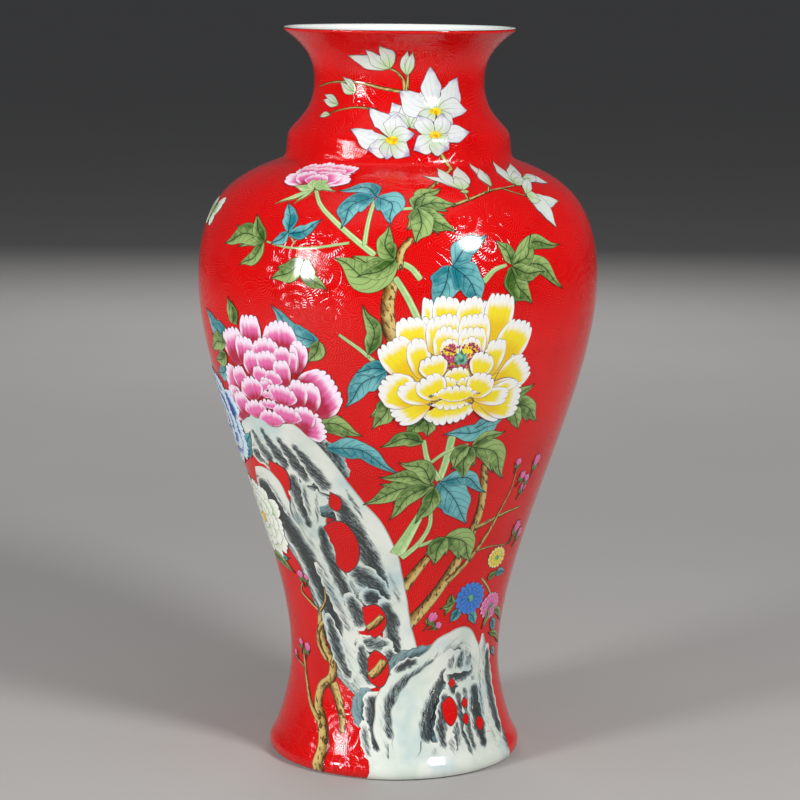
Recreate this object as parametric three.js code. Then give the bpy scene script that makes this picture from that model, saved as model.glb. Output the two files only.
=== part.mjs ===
// A tall baluster vase in porcelain: a flared foot, a narrow waist, a full belly, a stepped collar
// and a trumpet mouth. It is built as a potter builds one of this size: five rings thrown on the
// wheel, joined end to end with slip, and a floor slab luted into the foot.
// Millimetres, +Z up, the axis on Z, and the foot ring standing on Z = 0.
import * as THREE from "three";

// Driving dimensions.
const HEIGHT = 400;
const FOOT_RADIUS = 69.8;
const WAIST_RADIUS = 57.9;
const BELLY_RADIUS = 108.8;
const COLLAR_RADIUS = 61.2;
const NECK_RADIUS = 46;
const MOUTH_RADIUS = 62.6;

// Heights of the stations that the profile passes through.
const FOOT_EDGE_Z = 4.5;
const WAIST_Z = 54;
const BELLY_Z = 264;
const COLLAR_BASE_Z = 328.8;
const COLLAR_TOP_Z = 343.5;
const NECK_Z = 372;

// Wall and foot.
const BODY_WALL = 5.2;
const NECK_WALL = 4.2;
const LIP_ROUND = 1.5;
const FOOT_ROUND = 3.4;
const RING_INNER_RADIUS = 57.5;
const LEDGE_Z = 6;
const FLOOR_Z = 14;
const SLAB_RADIUS = 59.5;

// Slip joints between the thrown sections: their thickness, and the heights they are centred on.
const SLIP = 1;
const JOINT_Z = { waist: WAIST_Z, body: 150, belly: BELLY_Z, neck: 332.5 };

// Facets around the axis, and steps along each stretch of the profile.
const FACETS = 48;
const LONG_STEPS = 11;
const MIDDLE_STEPS = 6;
const SHORT_STEPS = 4;
const ROUND_STEPS = 3;

const RED_ENAMEL = new THREE.MeshStandardMaterial({ color: 0xc00806, roughness: 0.12, metalness: 0 });
const WHITE_GLAZE = new THREE.MeshStandardMaterial({ color: 0xe9ebe6, roughness: 0.12, metalness: 0 });
const BISCUIT = new THREE.MeshStandardMaterial({ color: 0xdfd8c8, roughness: 0.85, metalness: 0 });

const point = (r, z) => new THREE.Vector2(r, z);

// A smooth stretch of wall: it leaves `from` towards `leave` and reaches `to` from `arrive`.
function sweep(from, leave, arrive, to, steps) {
  return new THREE.CubicBezierCurve(point(...from), point(...leave), point(...arrive), point(...to))
    .getPoints(steps);
}

// A rounded edge between two points, bending at `corner`.
function round(from, corner, to) {
  return new THREE.QuadraticBezierCurve(point(...from), point(...corner), point(...to))
    .getPoints(ROUND_STEPS);
}

// Stretches joined end to end, without the points that two of them share.
function chain(...stretches) {
  const joined = stretches.flat();
  return joined.filter((p, i) => i === 0 || p.distanceTo(joined[i - 1]) > 1e-3);
}

// The outside of the wall, from the foot ring's outer edge up to the top of the lip.
function outerWall() {
  const foot = round(
    [FOOT_RADIUS - FOOT_ROUND, 0], [FOOT_RADIUS, 0.3], [FOOT_RADIUS, FOOT_EDGE_Z]);
  const skirt = sweep(
    [FOOT_RADIUS, FOOT_EDGE_Z], [62.6, 19.4], [WAIST_RADIUS, 38.9], [WAIST_RADIUS, WAIST_Z],
    MIDDLE_STEPS);
  const body = sweep(
    [WAIST_RADIUS, WAIST_Z], [WAIST_RADIUS, 115.7], [BELLY_RADIUS, 204.2], [BELLY_RADIUS, BELLY_Z],
    LONG_STEPS);
  const shoulder = sweep(
    [BELLY_RADIUS, BELLY_Z], [BELLY_RADIUS, 310], [87.8, 320.2], [64.6, COLLAR_BASE_Z],
    LONG_STEPS);
  const fillet = round(
    [64.6, COLLAR_BASE_Z], [61.6, 329.8], [COLLAR_RADIUS, JOINT_Z.neck]);
  const corner = round([60.3, 341], [60.2, COLLAR_TOP_Z], [58.3, 345.6]);
  const neck = sweep(
    [58.3, 345.6], [52, 353], [NECK_RADIUS, 356.5], [NECK_RADIUS, NECK_Z], SHORT_STEPS);
  const trumpet = sweep(
    [NECK_RADIUS, NECK_Z], [NECK_RADIUS, 389], [59.5, 395], [MOUTH_RADIUS, 398.6], MIDDLE_STEPS);
  const lip = round(
    [MOUTH_RADIUS, 398.6], [MOUTH_RADIUS - 0.1, HEIGHT], [MOUTH_RADIUS - LIP_ROUND, HEIGHT]);
  return chain(foot, skirt, body, shoulder, fillet, corner, neck, trumpet, lip);
}

// The inside of the wall, from the top of the lip down to the floor's pocket.
function innerWall() {
  const belly = BELLY_RADIUS - BODY_WALL;
  const waist = WAIST_RADIUS - BODY_WALL;
  const neckBore = NECK_RADIUS - NECK_WALL;
  const lip = round(
    [MOUTH_RADIUS - LIP_ROUND, HEIGHT], [59.6, HEIGHT], [58.6, 398.4]);
  const trumpet = sweep(
    [58.6, 398.4], [54.5, 393], [neckBore, 388], [neckBore, NECK_Z], MIDDLE_STEPS);
  const neck = sweep(
    [neckBore, NECK_Z], [neckBore, 354], [55.8, 351], [56.2, JOINT_Z.neck], SHORT_STEPS);
  const fillet = round([56.2, JOINT_Z.neck], [56.3, 325], [62, 323]);
  const shoulder = sweep(
    [62, 323], [84.5, 315], [belly, 303], [belly, BELLY_Z], MIDDLE_STEPS);
  const body = sweep(
    [belly, BELLY_Z], [belly, 204.2], [waist, 115.7], [waist, WAIST_Z], LONG_STEPS);
  const skirt = sweep(
    [waist, WAIST_Z], [waist, 40], [55.5, 28], [SLAB_RADIUS + SLIP, FLOOR_Z], SHORT_STEPS);
  return chain(lip, trumpet, neck, fillet, shoulder, body, skirt);
}

// Radius of a wall at height z, between two of its points.
function radiusAt(wall, z) {
  const i = wall.findIndex((p, k) => k > 0 && (p.y - z) * (wall[k - 1].y - z) <= 0);
  const [a, b] = [wall[i - 1], wall[i]];
  return a.x + ((b.x - a.x) * (z - a.y)) / (b.y - a.y);
}

// The part of a wall between two heights, with an exact point at each end.
function stretch(wall, low, high) {
  const rising = wall[0].y < wall[wall.length - 1].y;
  const ends = [low, high].map((z) => point(radiusAt(wall, z), z));
  const between = wall.filter((p) => p.y > low + 0.2 && p.y < high - 0.2);
  return rising ? [ends[0], ...between, ends[1]] : [ends[1], ...between, ends[0]];
}

// A piece turned from its cross-section, which runs up the outside. A ring's section comes back
// down the inside to its start; a disc's starts and ends on the axis.
function turned(name, section, material) {
  const closed = section[0].x === 0 ? section : [...section, section[0]];
  const geometry = new THREE.LatheGeometry(closed, FACETS);
  geometry.rotateX(Math.PI / 2);
  const mesh = new THREE.Mesh(geometry, material);
  mesh.name = name;
  return mesh;
}

const OUTER = outerWall();
const INNER = innerWall();

function thrownSection(name, low, high) {
  return turned(name, [...stretch(OUTER, low, high), ...stretch(INNER, low, high)], RED_ENAMEL);
}

// The slip that fills the joint centred on height z.
function slipRing(name, z) {
  const [low, high] = [z - SLIP / 2, z + SLIP / 2];
  const section = [
    point(radiusAt(OUTER, low), low),
    point(radiusAt(OUTER, high), high),
    point(radiusAt(INNER, high), high),
    point(radiusAt(INNER, low), low),
  ];
  return turned(name, section, BISCUIT);
}

function neckSection() {
  const low = JOINT_Z.neck + SLIP / 2;
  const outside = OUTER.filter((p) => p.y > low + 0.2);
  const inside = INNER.filter((p) => p.y > low + 0.2 && p.x < MOUTH_RADIUS - LIP_ROUND - 0.01);
  return turned("neck_section", [
    point(radiusAt(OUTER, low), low),
    ...outside,
    ...inside,
    point(radiusAt(INNER, low), low),
  ], RED_ENAMEL);
}

// The foot: the skirt above, and below it the turned ring with the ledge that the slab rests on.
function footSection() {
  const high = JOINT_Z.waist - SLIP / 2;
  const outside = OUTER.filter((p) => p.y < high - 0.2);
  const inside = INNER.filter((p) => p.y < high - 0.2);
  return turned("foot_section", [
    ...outside,
    point(radiusAt(OUTER, high), high),
    point(radiusAt(INNER, high), high),
    ...inside,
    point(SLAB_RADIUS + SLIP, LEDGE_Z),
    point(RING_INNER_RADIUS, LEDGE_Z),
    point(RING_INNER_RADIUS, 1),
    point(RING_INNER_RADIUS + 1, 0),
  ], RED_ENAMEL);
}

// The floor of the vase: a disc whose cross-section starts and ends on the axis.
function baseSlab() {
  const section = [
    point(0, LEDGE_Z),
    point(SLAB_RADIUS, LEDGE_Z),
    point(SLAB_RADIUS, FLOOR_Z),
    point(0, FLOOR_Z),
  ];
  return turned("base_slab", section, WHITE_GLAZE);
}

function floorSlipRing() {
  return turned("floor_slip_ring", [
    point(SLAB_RADIUS + SLIP, LEDGE_Z),
    point(SLAB_RADIUS + SLIP, FLOOR_Z),
    point(SLAB_RADIUS, FLOOR_Z),
    point(SLAB_RADIUS, LEDGE_Z),
  ], BISCUIT);
}

const vase = new THREE.Group();
vase.add(
  footSection(),
  thrownSection("waist_section", JOINT_Z.waist + SLIP / 2, JOINT_Z.body - SLIP / 2),
  thrownSection("belly_section", JOINT_Z.body + SLIP / 2, JOINT_Z.belly - SLIP / 2),
  thrownSection("shoulder_section", JOINT_Z.belly + SLIP / 2, JOINT_Z.neck - SLIP / 2),
  neckSection(),
  baseSlab(),
  floorSlipRing(),
);
for (const [joint, z] of Object.entries(JOINT_Z)) {
  vase.add(slipRing(`${joint}_slip_ring`, z));
}

export default vase;
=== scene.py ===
"""A tall baluster vase in porcelain, enamelled in red with scratched scrolls and painted with
peonies, magnolias, leaves and a garden rock. Lengths in the drawings are in millimetres, measured
along the outside of the wall: across it to the right, and up it from the foot's edge."""
import bisect
import math
import random

import bpy
from bpy.props import FloatProperty, FloatVectorProperty, IntProperty, PointerProperty
from mathutils import Matrix, Vector


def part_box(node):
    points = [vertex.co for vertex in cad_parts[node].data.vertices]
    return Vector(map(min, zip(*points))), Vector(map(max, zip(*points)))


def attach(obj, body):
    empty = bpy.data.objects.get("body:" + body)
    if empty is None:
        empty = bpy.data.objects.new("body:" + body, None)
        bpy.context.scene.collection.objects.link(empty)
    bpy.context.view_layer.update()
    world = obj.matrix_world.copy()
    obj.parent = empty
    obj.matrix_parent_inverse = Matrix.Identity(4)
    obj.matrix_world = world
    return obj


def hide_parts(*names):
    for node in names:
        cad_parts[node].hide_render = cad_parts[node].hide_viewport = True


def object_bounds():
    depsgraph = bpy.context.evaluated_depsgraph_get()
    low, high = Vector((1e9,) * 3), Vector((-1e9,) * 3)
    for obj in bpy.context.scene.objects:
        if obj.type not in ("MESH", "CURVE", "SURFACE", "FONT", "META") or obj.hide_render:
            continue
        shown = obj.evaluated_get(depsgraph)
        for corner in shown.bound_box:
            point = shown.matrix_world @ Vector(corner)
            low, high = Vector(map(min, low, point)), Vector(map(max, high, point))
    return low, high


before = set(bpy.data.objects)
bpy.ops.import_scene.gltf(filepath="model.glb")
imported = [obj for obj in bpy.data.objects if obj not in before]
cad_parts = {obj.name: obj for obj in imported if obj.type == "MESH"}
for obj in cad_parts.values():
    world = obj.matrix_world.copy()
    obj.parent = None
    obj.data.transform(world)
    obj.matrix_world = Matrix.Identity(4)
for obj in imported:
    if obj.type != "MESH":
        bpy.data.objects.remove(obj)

bl_info = {
    "name": "Enamelled baluster vase",
    "version": (1, 0, 0),
    "blender": (4, 5, 0),
    "location": "View3D > Sidebar > Vase",
    "description": "Builds a painted porcelain vase around its packed frame",
    "category": "Object",
}

MM = 0.001
CLOSE = 0.01 * MM
TOUCHING = 1e-6
LEVEL_LEAN = 0.05
TURN = 2 * math.pi
CAD_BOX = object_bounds()
BODY = "root"
SECTIONS = ("foot_section", "waist_section", "belly_section", "shoulder_section", "neck_section")
MARKS = ("meridian", "across", "aside", "along", "ahead", "edge", "tone")
BRUSH_COLUMNS = (-1, -0.8, -0.4, 0, 0.4, 0.8, 1)
LEAF_COLUMNS = (-1, -0.8, -0.55, -0.27, 0, 0.27, 0.55, 0.8, 1)

# The enamel's height over the wall where each kind of shape begins, in millimetres. Shapes of one
# drawing then climb by its layer, and GAP parts a drawing from the one below it.
WOOD_LIFT = 0.06
ROCK_LIFT = 0.1
STEM_LIFT = 0.1
LEAF_LIFT = 0.24
BACK_LEAF_LIFT = 0.2
BUD_LIFT = 0.26
CUP_LIFT = 0.38
BLOOM_LIFT = 0.3
GROUND_LIFT = 0.36
PEONY_LIFT = 0.42
GAP = 0.02
SKIRT_DEPTH = 0.04

# The scratched scrolls: the distance between their centres, and the pitch of their coils in mm.
SCROLL_SPACING = 21 * MM
SCROLL_PITCH = 4.4

# The height of the enamels' relief, their optics, and the roughness and relief of most of them.
BUMP_DISTANCE = 0.4 * MM
GLAZE_IOR = 1.5
GLAZE_SPECULAR = 0.4
ENAMEL_FINISH = (0.1, 0.15)

# The stage: the camera's place in metres, its turns in degrees and its lens in millimetres, the
# width of the floor in metres, and the light of the sky.
CAMERA_PLACE = (0, -1.372, 0.4318)
CAMERA_PITCH, CAMERA_YAW, CAMERA_ROLL = 90 - 9.747, -0.075, 0.48
CAMERA_LENS = 113.6
STAGE_SIZE = 120
SKY_COLOUR = (0.9, 0.93, 1.0, 1)
SKY_STRENGTH = 0.09


def srgb(red, green, blue):
    """A colour picked by eye, 0 to 255, as the linear colour that materials take."""
    def linear(value):
        part = value / 255
        return part / 12.92 if part <= 0.04045 else ((part + 0.055) / 1.055) ** 2.4
    return (linear(red), linear(green), linear(blue), 1.0)


# ---------------------------------------------------------------------------- the wall's lines

def smooth(points, spacing):
    """A smooth line through the points, with a point about every `spacing`."""
    line = [Vector(point) for point in points]
    gaps = [max((b - a).length, 1e-9) for a, b in zip(line, line[1:])]
    slopes = [(b - a) / gap for a, b, gap in zip(line, line[1:], gaps)]
    bends = [slopes[0]]
    for i in range(1, len(line) - 1):
        bends.append((slopes[i - 1] * gaps[i] + slopes[i] * gaps[i - 1]) / (gaps[i - 1] + gaps[i]))
    bends.append(slopes[-1])
    result = [line[0]]
    for i, gap in enumerate(gaps):
        count = max(1, math.ceil(gap / spacing))
        for step in range(1, count + 1):
            t = step / count
            start = (1 + 2 * t) * (1 - t) ** 2 * line[i] + t * (1 - t) ** 2 * gap * bends[i]
            end = t * t * (3 - 2 * t) * line[i + 1] + t * t * (t - 1) * gap * bends[i + 1]
            result.append(start + end)
    return result


def wall_points(node, outside):
    """(radius, height) along a thrown section's outer or inner wall, lowest first. Flat ends
    belong to neither, and the points are those in the plane of x and z."""
    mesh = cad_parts[node].data
    found = set()
    for face in mesh.polygons:
        away = Vector((face.center.x, face.center.y, 0)).normalized()
        lean = face.normal.dot(away)
        if abs(lean) < LEVEL_LEAN or (lean > 0) != outside:
            continue
        for index in face.vertices:
            place = mesh.vertices[index].co
            if abs(place.y) < TOUCHING and place.x > 0:
                found.add((round(place.x, 6), round(place.z, 6)))
    return sorted(found, key=lambda point: point[1])


class WallLine:
    """One line of the cross-section: radius and height against the length along it."""

    def __init__(self, points, rounded=True):
        self.points = smooth(points, 0.5 * MM) if rounded else [Vector(point) for point in points]
        self.lengths = [0.0]
        for a, b in zip(self.points, self.points[1:]):
            self.lengths.append(self.lengths[-1] + (b - a).length)

    def at(self, length):
        """(radius, height) that far along the line."""
        i = min(max(bisect.bisect(self.lengths, length), 1), len(self.lengths) - 1)
        low, high = self.lengths[i - 1], self.lengths[i]
        part = min(max((length - low) / (high - low), 0), 1)
        return self.points[i - 1].lerp(self.points[i], part)

    def out(self, length):
        """The direction out of the wall there, as (radial, upward)."""
        run = (self.at(length + MM) - self.at(length - MM)).normalized()
        return Vector((run.y, -run.x))

    def length_at(self, height):
        """Where a rising line first reaches a height."""
        i = next(i for i, point in enumerate(self.points) if point.y >= height)
        return self.lengths[i]

    @property
    def whole(self):
        return self.lengths[-1]


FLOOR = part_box("base_slab")[1].z
OUTSIDE = WallLine([point for node in SECTIONS for point in wall_points(node, True)])
INSIDE_POINTS = [p for node in SECTIONS for p in wall_points(node, False) if p[1] > FLOOR - CLOSE]
# The lengths along the outside where the red begins, over the foot's edge, and ends, at the lip.
FOOT_LINE = 2.2 * MM
LIP_LINE = OUTSIDE.length_at(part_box("neck_section")[1].z - 1.3 * MM)


# ---------------------------------------------------------------------------- node expressions

class Value:
    """A socket that arithmetic can be written with; each operation adds its node."""

    def __init__(self, graph, socket):
        self.graph = graph
        self.socket = socket

    def math(self, operation, *others):
        inputs = dict(enumerate((self, *others)))
        return self.graph.add("ShaderNodeMath", {"operation": operation}, inputs)

    def __add__(self, other):
        return self.math("ADD", other)

    __radd__ = __add__

    def __sub__(self, other):
        return self.math("SUBTRACT", other)

    def __rsub__(self, other):
        return self.graph.add("ShaderNodeMath", {"operation": "SUBTRACT"}, {0: other, 1: self})

    def __mul__(self, other):
        return self.math("MULTIPLY", other)

    __rmul__ = __mul__

    def __truediv__(self, other):
        return self.math("DIVIDE", other)

    def __rtruediv__(self, other):
        return self.graph.add("ShaderNodeMath", {"operation": "DIVIDE"}, {0: other, 1: self})

    def __abs__(self):
        return self.math("ABSOLUTE")

    def sine(self):
        return self.math("SINE")

    def fraction(self):
        return self.math("FRACT")

    def floor(self):
        return self.math("FLOOR")

    def least(self, other):
        return self.math("MINIMUM", other)

    def most(self, other):
        return self.math("MAXIMUM", other)

    def rise(self, low, high):
        """0 below low and 1 above high, with a smooth step between."""
        settings = {"interpolation_type": "SMOOTHSTEP"}
        inputs = {"Value": self, "From Min": low, "From Max": high}
        return self.graph.add("ShaderNodeMapRange", settings, inputs)

    def fall(self, low, high):
        """1 below low and 0 above high, with a smooth step between."""
        return 1 - self.rise(low, high)


class Graph:
    """A node tree that is written one expression at a time."""

    def __init__(self, tree):
        self.tree = tree
        tree.nodes.clear()

    def add(self, kind, settings=None, inputs=None, output=0):
        """Adds a node: its settings first, then the values or links of its sockets."""
        node = self.tree.nodes.new(kind)
        for name, setting in (settings or {}).items():
            setattr(node, name, setting)
        for key, value in (inputs or {}).items():
            if isinstance(value, Value):
                self.tree.links.new(value.socket, node.inputs[key])
            else:
                node.inputs[key].default_value = value
        return Value(self, node.outputs[output]) if node.outputs else None

    def mark(self, name):
        """A number stored on the mesh."""
        settings = {"attribute_name": name, "attribute_type": "GEOMETRY"}
        return self.add("ShaderNodeAttribute", settings, output="Fac")

    def mix(self, factor, first, second):
        """A colour between two colours."""
        settings = {"data_type": "RGBA", "clamp_factor": True}
        return self.add("ShaderNodeMix", settings, {0: factor, 6: first, 7: second}, output=2)

    def vector(self, operation, *inputs, output=0):
        return self.add("ShaderNodeVectorMath", {"operation": operation},
                        dict(enumerate(inputs)), output)

    def split(self, vector):
        """The three numbers of a vector."""
        node = self.tree.nodes.new("ShaderNodeSeparateXYZ")
        self.tree.links.new(vector.socket, node.inputs[0])
        return [Value(self, socket) for socket in node.outputs]

    def join(self, x=0.0, y=0.0, z=0.0):
        return self.add("ShaderNodeCombineXYZ", None, {0: x, 1: y, 2: z})

    def noise(self, scale, vector=None, detail=2.0, rough=0.5):
        """Cloudy noise from 0 to 1, on the object's own coordinates unless told otherwise."""
        place = vector or self.add("ShaderNodeTexCoord", output="Object")
        inputs = {"Vector": place, "Scale": scale, "Detail": detail, "Roughness": rough}
        return self.add("ShaderNodeTexNoise", None, inputs, output="Fac")


# ---------------------------------------------------------------------------- materials

def glazed(name, paint, roughness, relief):
    """A glossy ceramic surface. `paint` gives its colour, its height and its added roughness."""
    material = bpy.data.materials.new(name)
    material.use_nodes = True
    graph = Graph(material.node_tree)
    colour, height, dull = paint(graph)
    bump = graph.add("ShaderNodeBump", None,
                     {"Strength": relief, "Distance": BUMP_DISTANCE, "Height": height})
    inputs = {"Base Color": colour, "Normal": bump, "Roughness": dull * 0.3 + roughness,
              "IOR": GLAZE_IOR, "Specular IOR Level": GLAZE_SPECULAR}
    shader = graph.add("ShaderNodeBsdfPrincipled", None, inputs)
    graph.add("ShaderNodeOutputMaterial", None, {"Surface": shader})
    return material


def scroll_scratches(graph):
    """Fine scrolls of feathery ticks, scratched round scattered centres: 1 on a tick, and the
    softer groove that it leaves."""
    place = graph.add("ShaderNodeTexCoord", output="Object")
    settings = {"feature": "F1", "voronoi_dimensions": "3D"}
    inputs = {"Vector": place, "Scale": 1 / SCROLL_SPACING, "Randomness": 0.85}
    centre = graph.add("ShaderNodeTexVoronoi", settings, inputs, output="Position")
    away = graph.split(graph.vector("SUBTRACT", place, centre))
    x, y, _ = graph.split(place)
    radius = (x * x + y * y).math("SQRT")
    east, north = x / radius, y / radius
    normal = graph.split(graph.add("ShaderNodeNewGeometry", output="Normal"))
    lean = normal[0] * east + normal[1] * north
    sideways = away[1] * east - away[0] * north
    upward = away[2] * lean - (away[0] * east + away[1] * north) * normal[2]
    reach = (sideways * sideways + upward * upward).math("SQRT") * (1 / MM)
    angle = upward.math("ARCTAN2", sideways) / TURN
    coil = reach / SCROLL_PITCH + angle
    ring = coil.floor()
    part = coil.fraction()
    count = ((ring + 0.6) * 19).floor().most(7.0)
    tick = abs((angle * count + part * part * 1.2).fraction() - 0.5)
    worn = graph.noise(90, detail=3).rise(0.3, 0.6) * 0.4 + 0.6
    arc = part.rise(0.86, 0.9) * part.fall(0.94, 0.98)
    line = (tick.fall(0.09, 0.2) * part.rise(0.06, 0.14) * part.fall(0.74, 0.84)).most(arc)
    soft_arc = part.rise(0.8, 0.9) * part.fall(0.9, 1.0)
    groove = (tick.fall(0.04, 0.36) * part.rise(0.0, 0.16) * part.fall(0.7, 0.88)).most(soft_arc)
    return line * worn, groove * worn


def red_paint(colour, pale):
    def paint(graph):
        line, groove = scroll_scratches(graph)
        cloud = graph.noise(22, detail=3)
        grain = graph.noise(1400, detail=1)
        deep = tuple(part * 0.86 for part in colour[:3]) + (1.0,)
        ground = graph.mix(cloud.rise(0.3, 0.7), deep, colour)
        shade = graph.mix(line * 0.4, ground, pale)
        height = cloud * 0.2 + grain * 0.004 - groove * 0.15
        return shade, height, line * 0.15 + grain * 0.03
    return paint


def white_paint(colour, tint):
    """Clear glaze over porcelain: milky, pooled a little greener here and there."""
    def paint(graph):
        pool = graph.noise(30, detail=3)
        speck = graph.noise(700, detail=2).rise(0.68, 0.75)
        milky = graph.mix(pool.rise(0.35, 0.75) * 0.5, colour, tint)
        shade = graph.mix(speck * 0.25, milky, srgb(150, 140, 120))
        return shade, pool * 0.4, speck * 0.3
    return paint


def biscuit_paint(colour):
    def paint(graph):
        grain = graph.noise(900, detail=4, rough=0.7)
        stain = graph.noise(60, detail=3)
        clay = graph.mix(stain.rise(0.4, 0.7) * 0.6, colour, srgb(196, 160, 118))
        shade = graph.mix(grain.rise(0.55, 0.75) * 0.4, clay, srgb(140, 120, 100))
        return shade, grain, grain
    return paint


def outlined(graph, colour, ink, width=0.3, strength=0.85):
    """The colour with a fine brushed line along the edge of the shape."""
    wobble = graph.noise(900, detail=1)
    near = graph.mark("edge").fall(width * 0.75, width * 1.5)
    return graph.mix(near * (wobble * 0.5 + 0.62) * strength, colour, ink)


def petal_paint(rim, body, heart, ink, turns=(1.5, 6.0, 9.0, 18.0)):
    """A petal shaded from its pale rim to its body and down to its heart, at depths given in
    millimetres, with fine veins and notched lobes."""
    def paint(graph):
        lobes = graph.mark("across")
        ahead = graph.mark("ahead")
        edge = graph.mark("edge")
        brush = graph.noise(420, detail=2)
        swell = abs(lobes.fraction() - 0.5) * 2
        short = 4 / (ahead + graph.mark("along") + 0.5) + 1
        inward = ahead.least(edge * 2.6 + 0.6) * short + (brush - 0.5) * 2.0 + swell * 0.8
        inward = inward - graph.mark("tone") * 3.0
        shade = graph.mix(inward.rise(turns[0], turns[1]), rim, body)
        shade = graph.mix((ahead * short).rise(turns[2], turns[3]) * 0.95, shade, heart)
        veins = (lobes * 9 + brush * 2.5).sine().rise(0.8, 1.0)
        shade = graph.mix(veins * ahead.rise(2.0, 6.0) * 0.22, shade, heart)
        cusp = swell.rise(0.86, 0.98)
        shade = graph.mix(cusp * ahead.fall(0.8, 2.6) * 0.5, shade, ink)
        shade = outlined(graph, shade, ink, 0.2, 1.0)
        return shade, edge.rise(0.0, 0.8) * 0.5 + brush * 0.2, brush * 0.1
    return paint


def leaf_paint(light, dark, vein, ink):
    """A leaf with a midrib, curved side veins, and one half washed darker than the other."""
    def paint(graph):
        across = graph.mark("across")
        aside = graph.mark("aside")
        along = graph.mark("along")
        edge = graph.mark("edge")
        brush = graph.noise(300, detail=3)
        wash = across * 0.35 + brush * 1.1 + graph.mark("tone") * 0.5 + along.fall(2.0, 12.0) * 0.35
        shade = graph.mix(wash.rise(0.3, 1.1), light, dark)
        shade = graph.mix(abs(aside).fall(0.2, 2.2) * 0.3, shade, dark)
        shade = graph.mix(edge.fall(0.4, 1.8) * 0.4, shade, light)
        rib = abs(aside).fall(0.18, 0.4)
        slant = along - abs(aside) * 0.7 - aside * aside * 0.1 + across * 1.2
        spread = (slant / 5.6).fraction() - 0.5
        ribs = abs(spread).fall(0.03, 0.075) * edge.rise(0.4, 1.4)
        shade = graph.mix(rib.most(ribs * 0.75) * 0.85, shade, vein)
        shade = outlined(graph, shade, ink, 0.26, 0.9)
        return shade, edge.rise(0.0, 0.7) * 0.7 - rib * 0.2, brush * 0.1
    return paint


def magnolia_paint(white, green, lilac, ink):
    def paint(graph):
        across = graph.mark("across")
        ahead = graph.mark("ahead")
        along = graph.mark("along")
        edge = graph.mark("edge")
        aside = graph.mark("aside")
        brush = graph.noise(350, detail=2)
        tinge = graph.mark("tone")
        shade = graph.mix((across * 0.5 + brush * 0.9).rise(0.45, 1.1) * 0.55, white, lilac)
        shade = graph.mix(along.fall(0.5, 10.0) * 0.7 + tinge * 0.5, shade, green)
        point = graph.mix(tinge.rise(0.2, 0.3), srgb(132, 104, 156), srgb(150, 172, 84))
        shade = graph.mix(ahead.fall(0.0, 5.0) * brush.rise(0.3, 0.6) * 0.8, shade, point)
        veins = abs(((aside + along * 0.12) / 2.8).fraction() - 0.5).fall(0.03, 0.06)
        shade = graph.mix(veins * edge.rise(0.6, 2.0) * 0.2, shade, ink)
        shade = graph.mix(abs(aside).fall(0.12, 0.3) * along.fall(4.0, 14.0) * 0.5, shade, ink)
        shade = outlined(graph, shade, ink, 0.27, 0.95)
        return shade, edge.rise(0.0, 0.7) * 0.5, brush * 0.1
    return paint


def bark_paint(light, dark, ink):
    """Gnarled bark: shaded along one side, with inked knots and broken lines."""
    def paint(graph):
        across = graph.mark("across")
        along = graph.mark("along")
        edge = graph.mark("edge")
        side = across + graph.mark("tone") * 3
        flow = graph.join(along * 0.3 + across * 1.2, side * 1.3, graph.mark("tone") * 3)
        scar = graph.noise(1.1, flow, detail=3, rough=0.6)
        knots = graph.add("ShaderNodeTexVoronoi", {"feature": "F1", "voronoi_dimensions": "3D"},
                          {"Vector": graph.join(along * 0.11, side * 0.5, 0.0), "Scale": 1.0,
                           "Randomness": 0.9}, output="Distance")
        brush = graph.noise(260, detail=3)
        shade = graph.mix((across * 0.55 + brush).rise(0.3, 0.9), light, dark)
        inked = scar.rise(0.54, 0.6).most(knots.fall(0.2, 0.25) * knots.rise(0.1, 0.14))
        inked = inked.most(across.rise(0.3, 0.9) * scar.rise(0.42, 0.48))
        shade = graph.mix(inked * 0.85, shade, ink)
        shade = outlined(graph, shade, ink, 0.36, 0.9)
        return shade, edge.rise(0.0, 0.9) * 0.7 - inked * 0.3, brush * 0.15
    return paint


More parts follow.
